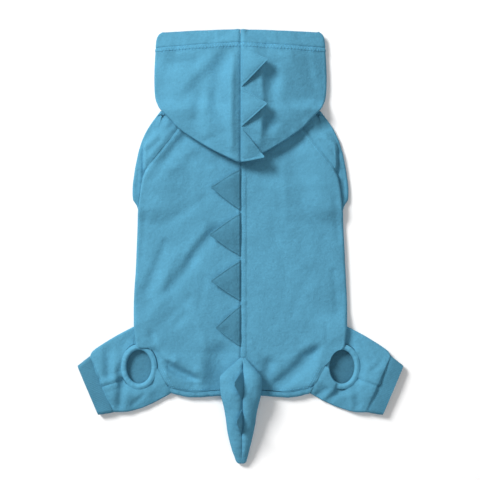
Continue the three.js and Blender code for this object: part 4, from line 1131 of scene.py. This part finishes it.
def standing_spike(name, row, seed):
    """A stuffed spike that stands in the tail's groove and leans to the left."""
    front, rear, tip_x, tip_y = row
    rings = []
    for h in np.linspace(0, 1, 30):
        ring = []
        for angle in np.linspace(0, 2 * math.pi, 48, endpoint=False):
            base_y = mix(rear, front, 0.5 + 0.5 * math.cos(angle))
            middle = (front + rear) / 2
            y = mix(middle, tip_y, h) + (base_y - middle) * mix(1, 0.1, h)
            thick = TAIL_SPIKE["thick"] / 2 * math.sin(angle) * mix(1, 0.35, h)
            ground = mix(float(groove_top(y)), float(groove_top(tip_y)), h)
            settle = 3.6 * abs(thick) / TAIL_SPIKE["thick"] * (1 - h)
            z = ground + SEAM + settle + TAIL_SPIKE["tall"] * h
            lump = 0.25 * float(drift(y, z, 8, seed)) * math.sin(angle)
            x = mix(float(tail_middle(y)) - 0.6, tip_x - 0.4, h) + thick + lump
            ring.append((x, y, z))
        rings.append(ring)
    return object_from(name, *closed_rings(rings))


# Stitches


def stitch_line(path, top_at, length):
    """Stitches along a path: rows of middle point and direction, in millimetres."""
    path = np.array(path, float)
    runs = np.linalg.norm(np.diff(path, axis=0), axis=1)
    place = np.concatenate([[0], np.cumsum(runs)])
    where = np.arange(length, place[-1] - length, length + STITCH["gap"])
    x, y = (np.interp(where, place, path[:, k]) for k in (0, 1))
    step = 0.4
    ahead = [np.interp(where + step, place, path[:, k]) for k in (0, 1)]
    behind = [np.interp(where - step, place, path[:, k]) for k in (0, 1)]
    z = top_at(x, y) - STITCH["sink"]
    rise = top_at(*ahead) - top_at(*behind)
    run = np.stack([ahead[0] - behind[0], ahead[1] - behind[1], rise], -1)
    run = run / np.linalg.norm(run, axis=1, keepdims=True)
    return [(point, way, length) for point, way in zip(np.stack([x, y, z], -1), run)]


def thread_between(path, top_at):
    """One stitch from a place to another."""
    (x1, y1), (x2, y2) = path
    start = np.array([x1, y1, float(top_at(x1, y1))])
    finish = np.array([x2, y2, float(top_at(x2, y2))])
    middle = (start + finish) / 2
    middle[2] = max(middle[2], float(top_at(middle[0], middle[1]))) + 0.05
    length = np.linalg.norm(finish - start)
    return middle, (finish - start) / length, length


def stitches(name, rows, material):
    """Short raised threads as one mesh."""
    ends = [(-0.5, 0.35), (-0.36, 0.9), (0.0, 1.0), (0.36, 0.9), (0.5, 0.35)]
    points, faces = [], []
    for centre, way, length in rows:
        side = np.cross(way, (0, 0, 1))
        side = side / np.linalg.norm(side)
        up = np.cross(side, way)
        start = len(points)
        for along, wide in ends:
            arch = 0.12 * (1 - (2 * along) ** 2)
            for k in range(6):
                angle = k * math.pi / 3
                offset = side * math.cos(angle) + up * math.sin(angle)
                spot = centre + way * along * length
                points.append(spot + offset * STITCH["thick"] * wide + up * arch)
        for j in range(4):
            for k in range(6):
                a, b = start + 6 * j + k, start + 6 * j + (k + 1) % 6
                faces.append([a, b, b + 6, a + 6])
        faces.append([start + k for k in range(6)][::-1])
        faces.append([start + 24 + k for k in range(6)])
    obj = object_from(name, points, faces)
    return finish_piece(obj, material, "fleece")


def body_surface(x, y):
    """Height of the finished body."""
    return body_top(x, y) + body_relief(x, y)


def hood_surface(x, y):
    """Height of the finished hood."""
    return hood_top(x, y) + hood_relief(x, y)


def offset_line(line, away):
    """A line beside another one, at a distance, towards the garment's middle."""
    points = np.array(line, float)
    way = points[-1] - points[0]
    way = way / np.linalg.norm(way)
    side = np.array([way[1], -way[0]])
    if side[0] * points[:, 0].mean() > 0:
        side = -side
    return points + side * away


# Materials


def set_input(node, name, value):
    node.inputs[name].default_value = value


def cloth_material(name, colour, dark, light, pile, sheen):
    """Brushed cloth: mottled colour and a short, uneven nap."""
    material = bpy.data.materials.new(name)
    material.use_nodes = True
    nodes, links = material.node_tree.nodes, material.node_tree.links
    nodes.clear()
    out = nodes.new("ShaderNodeOutputMaterial")
    shader = nodes.new("ShaderNodeBsdfPrincipled")
    place = nodes.new("ShaderNodeTexCoord")
    links.new(shader.outputs["BSDF"], out.inputs["Surface"])
    set_input(shader, "Roughness", 0.95)
    set_input(shader, "Specular IOR Level", 0.05)
    set_input(shader, "Sheen Weight", sheen)
    set_input(shader, "Sheen Roughness", 0.45)
    set_input(shader, "Sheen Tint", (*[min(1, c * 1.8) for c in light[:3]], 1))

    def noise(scale, detail, rough):
        node = nodes.new("ShaderNodeTexNoise")
        set_input(node, "Scale", scale)
        set_input(node, "Detail", detail)
        set_input(node, "Roughness", rough)
        links.new(place.outputs["Object"], node.inputs["Vector"])
        return node.outputs["Fac"]

    def ramp(source, low, high):
        node = nodes.new("ShaderNodeMapRange")
        set_input(node, "From Min", low)
        set_input(node, "From Max", high)
        links.new(source, node.inputs["Value"])
        return node.outputs["Result"]

    def mixed(factor, first, second):
        node = nodes.new("ShaderNodeMix")
        node.data_type = "RGBA"
        links.new(factor, node.inputs[0])
        for socket, value in ((node.inputs[6], first), (node.inputs[7], second)):
            if isinstance(value, bpy.types.NodeSocket):
                links.new(value, socket)
            else:
                socket.default_value = (*value[:3], 1)
        return node.outputs[2]

    broad = ramp(noise(38, 4, 0.55), 0.36, 0.64)
    tufts = ramp(noise(420, 3, 0.7), 0.34, 0.66)
    fibres = ramp(noise(1500, 2, 0.7), 0.3, 0.7)
    base = mixed(broad, mixed(tufts, dark, colour), mixed(tufts, colour, light))
    fine = mixed(fibres, base, colour)
    links.new(fine, shader.inputs["Base Color"])

    def bump(height, strength, distance, below=None):
        node = nodes.new("ShaderNodeBump")
        set_input(node, "Strength", strength)
        set_input(node, "Distance", distance)
        links.new(height, node.inputs["Height"])
        if below is not None:
            links.new(below, node.inputs["Normal"])
        return node.outputs["Normal"]

    wide = bump(noise(170, 3, 0.6), 0.5, 0.0016 * pile)
    tufted = bump(noise(620, 3, 0.7), 0.6, 0.0009 * pile, wide)
    fuzzy = bump(noise(2100, 2, 0.7), 0.5, 0.00035 * pile, tufted)
    links.new(fuzzy, shader.inputs["Normal"])
    return material


# Sizes and colours that an operator reads


def brightness(label, part, usual):
    """A setting for how bright one kind of cloth, or a copy of the cloth with painted shade, is next to
    the main cloth.
    """
    return bpy.props.FloatProperty(
        name=label, description=f"Brightness of {part}, next to the main cloth",
        subtype="FACTOR", min=0.3, max=1.5, default=usual,
    )


class DogSuitSettings(bpy.types.PropertyGroup):
    """Colours and surface of the suit, and the light on it."""

    cloth_colour: bpy.props.FloatVectorProperty(
        name="Cloth colour", description="Main colour of the brushed cloth",
        subtype="COLOR", size=3, min=0, max=1, default=(0.092, 0.305, 0.45),
    )
    # Painted shade: the back spikes are darkened because they face away from the light; part of their
    # darkness is the spikes' own cloth.
    back_spike_painted_shade: brightness("Back spike painted shade", "the spikes on the back", 0.77)
    # Painted shade in the thigh openings, where the lower layer lies deep under the rim and the body's
    # edge.
    opening_painted_shade: brightness("Opening painted shade", "the painted shade in the thigh openings", 0.6)
    # Painted light: the hood's and the tail's spikes are lighter than the back ones because they face
    # the light. They stay a little darker than the main cloth, as the spikes' own cloth is.
    lit_spike_tone: brightness("Lit spike tone", "the hood's and the tail's spikes", 0.92)
    cuff_shade: brightness("Cuff shade", "the rib cuffs", 0.76)
    rim_shade: brightness("Rim shade", "the bound thigh openings", 1.1)
    pile: bpy.props.FloatProperty(
        name="Pile depth", description="Depth of the nap next to its usual depth",
        min=0, max=3, default=1.0,
    )
    sheen: bpy.props.FloatProperty(
        name="Sheen", description="Soft light that the fibres catch at grazing angles",
        subtype="FACTOR", min=0, max=1, default=0.02,
    )
    stitch_length: bpy.props.FloatProperty(
        name="Stitch length", description="Length of one visible stitch",
        unit="LENGTH", min=0.001, max=0.006, default=0.0023,
    )
    fill: bpy.props.FloatProperty(
        name="Spike filling", description="How full the spikes and the tail are stuffed",
        subtype="FACTOR", min=0, max=1, default=0.6,
    )
    light_power: bpy.props.FloatProperty(
        name="Key light", description="Power of the main soft light, in watts",
        min=0, max=1000, default=284.0,
    )


def settings():
    """The suit's settings in this scene."""
    return bpy.context.scene.dog_suit


def shade(colour, amount):
    """A colour made darker or lighter."""
    return tuple(min(1, c * amount) for c in colour)


def cloth(name, amount=1.0, pile=1.0):
    """One of the suit's cloths: the main colour made lighter or darker."""
    name = f"{name}_look"
    made = bpy.data.materials.get(name)
    if made:
        return made
    base = shade(settings().cloth_colour, amount)
    return cloth_material(
        name, base, shade(base, 0.75), shade(base, 1.28), pile * settings().pile, settings().sheen
    )


class DOGSUIT_OT_body(bpy.types.Operator):
    """Build the back panels, the belly and the seat band"""

    bl_idname = "dogsuit.body"
    bl_label = "Body"

    def execute(self, context):
        fleece = cloth("fleece")
        for name, sign in (("back_left", -1), ("back_right", 1)):
            obj = finish_piece(back_panel(f"{name}_cloth", sign), fleece, "fleece", name)
        belly = finish_piece(belly_panel("belly_cloth"), fleece, "fleece", "belly")
        band = finish_piece(seat_band("seat_band_cloth"), fleece, "fleece", "seat_band")
        return {"FINISHED"}


class DOGSUIT_OT_hood(bpy.types.Operator):
    """Build the two halves of the hood"""

    bl_idname = "dogsuit.hood"
    bl_label = "Hood"

    def execute(self, context):
        fleece = cloth("fleece")
        for name, sign in (("hood_left", -1), ("hood_right", 1)):
            obj = finish_piece(hood_panel(f"{name}_cloth", sign), fleece, "fleece", name)
        return {"FINISHED"}


def paint_opening_shade(obj, material):
    """Paints shade into a thigh opening: the upward faces of the leg's lower layer seen through it get
    the darkened copy of the cloth.
    """
    obj.data.materials.append(material)
    for face in obj.data.polygons:
        x, y, z = (value / MM for value in face.center)
        if face.normal.z > 0.5 and z < 4 and from_rim(abs(x), y) < 1:
            face.material_index = 1


class DOGSUIT_OT_limbs(bpy.types.Operator):
    """Build the sleeves, the hind legs with their rib cuffs and the bound thigh openings"""

    bl_idname = "dogsuit.limbs"
    bl_label = "Sleeves and legs"

    def execute(self, context):
        fleece = cloth("fleece")
        rib = cloth("rib_knit", settings().cuff_shade, 0.6)
        bound = cloth("binding", settings().rim_shade, 0.5)
        # Painted shade in the thigh openings: darker on the right, which lies in the body's shade, and
        # lighter on the left.
        dark = settings().opening_painted_shade
        opening_shade = {1: cloth("opening_shade_right", dark), -1: cloth("opening_shade_left", dark * 1.3)}
        for side, sign in (("right", 1), ("left", -1)):
            obj = finish_piece(sleeve(f"sleeve_{side}_cloth", sign), fleece, "fleece", f"sleeve_{side}")
            for which in ("front", "rear"):
                name = f"leg_{which}_{side}"
                obj = finish_piece(leg_panel(f"{name}_cloth", which, sign), fleece, "fleece", name)
                paint_opening_shade(obj, opening_shade[sign])
            obj = finish_piece(cuff(f"cuff_{side}_cloth", sign), rib, "rib_knit", f"cuff_{side}")
            rim = thigh_rim(f"thigh_rim_{side}_cloth", sign)
            finish_piece(rim, bound, "binding", f"thigh_rim_{side}")
        return {"FINISHED"}


class DOGSUIT_OT_spikes(bpy.types.Operator):
    """Build the stuffed spikes along the back"""

    bl_idname = "dogsuit.spikes"
    bl_label = "Spikes"

    def execute(self, context):
        # Painted shade and light on two copies of the spike cloth: darker for the back spikes, which
        # face away from the light, and lighter for the hood's and tail's spikes, which face it. Part of
        # the darkness is the spikes' own cloth.
        low = cloth("spike_fleece", settings().back_spike_painted_shade)
        lit_spike_look = cloth("lit_spike", settings().lit_spike_tone)
        made = []
        for k, row in enumerate(HOOD_SPIKES, 1):
            name = f"spike_hood_{k}"
            obj = lying_spike(f"{name}_cloth", row, hood_top, 1.2, 144 + 7 * k)
            made.append((obj, lit_spike_look, name))
        for k, row in enumerate(BACK_SPIKES, 1):
            name = f"spike_back_{k}"
            made.append((lying_spike(f"{name}_cloth", row, body_top, 0.7, 174 + 7 * k), low, name))
        for k, row in enumerate(TAIL_SPIKES, 1):
            name = f"spike_tail_{k}"
            made.append((standing_spike(f"{name}_cloth", row, 210 + k), lit_spike_look, name))
        for obj, material, name in made:
            finish_piece(obj, material, "spike_fleece", name)
        return {"FINISHED"}


class DOGSUIT_OT_tail(bpy.types.Operator):
    """Build the stuffed tail"""

    bl_idname = "dogsuit.tail"
    bl_label = "Tail"

    def execute(self, context):
        fleece = cloth("fleece")
        for name, sign in (("tail_left", -1), ("tail_right", 1)):
            half = tail_half(f"{name}_cloth", sign)
            finish_piece(half, fleece, "fleece", name, angle=60)
        return {"FINISHED"}


class DOGSUIT_OT_stitching(bpy.types.Operator):
    """Build the rows of visible stitches"""

    bl_idname = "dogsuit.stitching"
    bl_label = "Stitching"

    def execute(self, context):
        thread = cloth("thread", 1.35, 0.2)
        length = settings().stitch_length / MM
        rows = []
        across = np.linspace(-98, 98, 99)
        for away in HEM_STITCHES:
            path = np.stack([across, hem_line(across) + away], -1)
            rows += stitch_line(path, hood_surface, length)
        for k, x in enumerate(np.arange(-99, 99, 2.1)):
            lean = 0.9 if k % 2 else -0.9
            behind, ahead = (float(hem_line(x)) + away for away in HEM_STITCHES)
            path = [(x - lean, behind + 0.4), (x + lean, ahead - 0.4)]
            rows.append(thread_between(path, hood_surface))
        stitches("hood_stitches", rows, thread)
        rows = []
        for x in STRIP_STITCHES:
            rows += stitch_line([(x, 102), (x, -134)], body_surface, length)
        stitches("strip_stitches", rows, thread)
        rows = []
        lines = [(RAGLAN[1:], 3.4), ([(104, -149.5), (87, -180)], 3.4), ([(102, -153), (87, -180)], 6)]
        for sign in (1, -1):
            for line, away in lines:
                rows += stitch_line(offset_line(line, away) * (sign, 1), body_surface, length)
        band = [(x, float(rear_edge(abs(x))) + BAND_DEPTH + 2.4) for x in np.linspace(-82, 82, 60)]
        rows += stitch_line([place for place in band if place[0] < -28], body_surface, length)
        rows += stitch_line([place for place in band if place[0] > 30], body_surface, length)
        stitches("seam_stitches", rows, thread)
        return {"FINISHED"}


# The stage, in metres and from the garment's middle
KEY_PLACE = (-2.86, 2.64, 3.0)
FILL_PLACE = (0.5, -0.3, 2.4)
FILL_SHARE = 0.036            # of the key light's power
SKY_STRENGTH = 0.31
CAMERA_PLACE = (-0.0006, 0.0088, 1.668)
FLOOR_REACH = 4


def area_light(name, place, size, power):
    """A square white light that looks at the middle of the garment."""
    lamp = bpy.data.lights.new(name, "AREA")
    lamp.shape = "SQUARE"
    lamp.size = size
    lamp.energy = power
    obj = placed(name, lamp)
    obj.location = place
    obj.rotation_euler = (-Vector(place)).to_track_quat("-Z", "Y").to_euler()
    return obj


class DOGSUIT_OT_stage(bpy.types.Operator):
    """Set the pale floor, the soft light from the upper left and the camera straight above"""

    bl_idname = "dogsuit.stage"
    bl_label = "Floor, lights and camera"

    def execute(self, context):
        scene = context.scene
        mesh = bpy.data.meshes.new("floor")
        signs = ((-1, -1), (1, -1), (1, 1), (-1, 1))
        corners = [(FLOOR_REACH * i, FLOOR_REACH * j, 0) for i, j in signs]
        mesh.from_pydata(corners, [], [(0, 1, 2, 3)])
        floor = placed("floor", mesh)
        floor.location.z = -0.0002
        pale = bpy.data.materials.new("pale_floor")
        pale.use_nodes = True
        shader = pale.node_tree.nodes["Principled BSDF"]
        set_input(shader, "Base Color", (0.97, 0.97, 0.97, 1))
        set_input(shader, "Roughness", 0.9)
        set_input(shader, "Specular IOR Level", 0.1)
        mesh.materials.append(pale)
        power = settings().light_power
        key = area_light("key_light", KEY_PLACE, 1.6, power)
        fill = area_light("fill_light", FILL_PLACE, 1.8, power * FILL_SHARE)
        world = bpy.data.worlds.new("studio")
        world.use_nodes = True
        sky = world.node_tree.nodes["Background"]
        set_input(sky, "Color", (1, 1, 1, 1))
        set_input(sky, "Strength", SKY_STRENGTH)
        scene.world = world
        lens = bpy.data.cameras.new("camera")
        lens.lens = 100
        lens.sensor_width = 36
        lens.dof.use_dof = False
        camera = placed("camera", lens)
        camera.location = CAMERA_PLACE
        scene.camera = camera
        scene.view_settings.view_transform = "Standard"
        return {"FINISHED"}


BUILDERS = (
    DOGSUIT_OT_body, DOGSUIT_OT_hood, DOGSUIT_OT_limbs, DOGSUIT_OT_spikes, DOGSUIT_OT_tail,
    DOGSUIT_OT_stitching, DOGSUIT_OT_stage,
)


class DOGSUIT_PT_panel(bpy.types.Panel):
    """Buttons that build the suit piece by piece"""

    bl_idname = "DOGSUIT_PT_panel"
    bl_label = "Dog Suit"
    bl_space_type = "VIEW_3D"
    bl_region_type = "UI"
    bl_category = "Dog Suit"

    def draw(self, context):
        for name in DogSuitSettings.__annotations__:
            self.layout.prop(context.scene.dog_suit, name)
        for builder in BUILDERS:
            self.layout.operator(builder.bl_idname)


CLASSES = (DogSuitSettings, *BUILDERS, DOGSUIT_PT_panel)


def register():
    for cls in CLASSES:
        bpy.utils.register_class(cls)
    bpy.types.Scene.dog_suit = bpy.props.PointerProperty(type=DogSuitSettings)


def unregister():
    del bpy.types.Scene.dog_suit
    for cls in reversed(CLASSES):
        bpy.utils.unregister_class(cls)


def main():
    register()
    bpy.ops.dogsuit.body()
    bpy.ops.dogsuit.hood()
    bpy.ops.dogsuit.limbs()
    bpy.ops.dogsuit.spikes()
    bpy.ops.dogsuit.tail()
    bpy.ops.dogsuit.stitching()
    bpy.ops.dogsuit.stage()


if __name__ == "__main__":
    main()
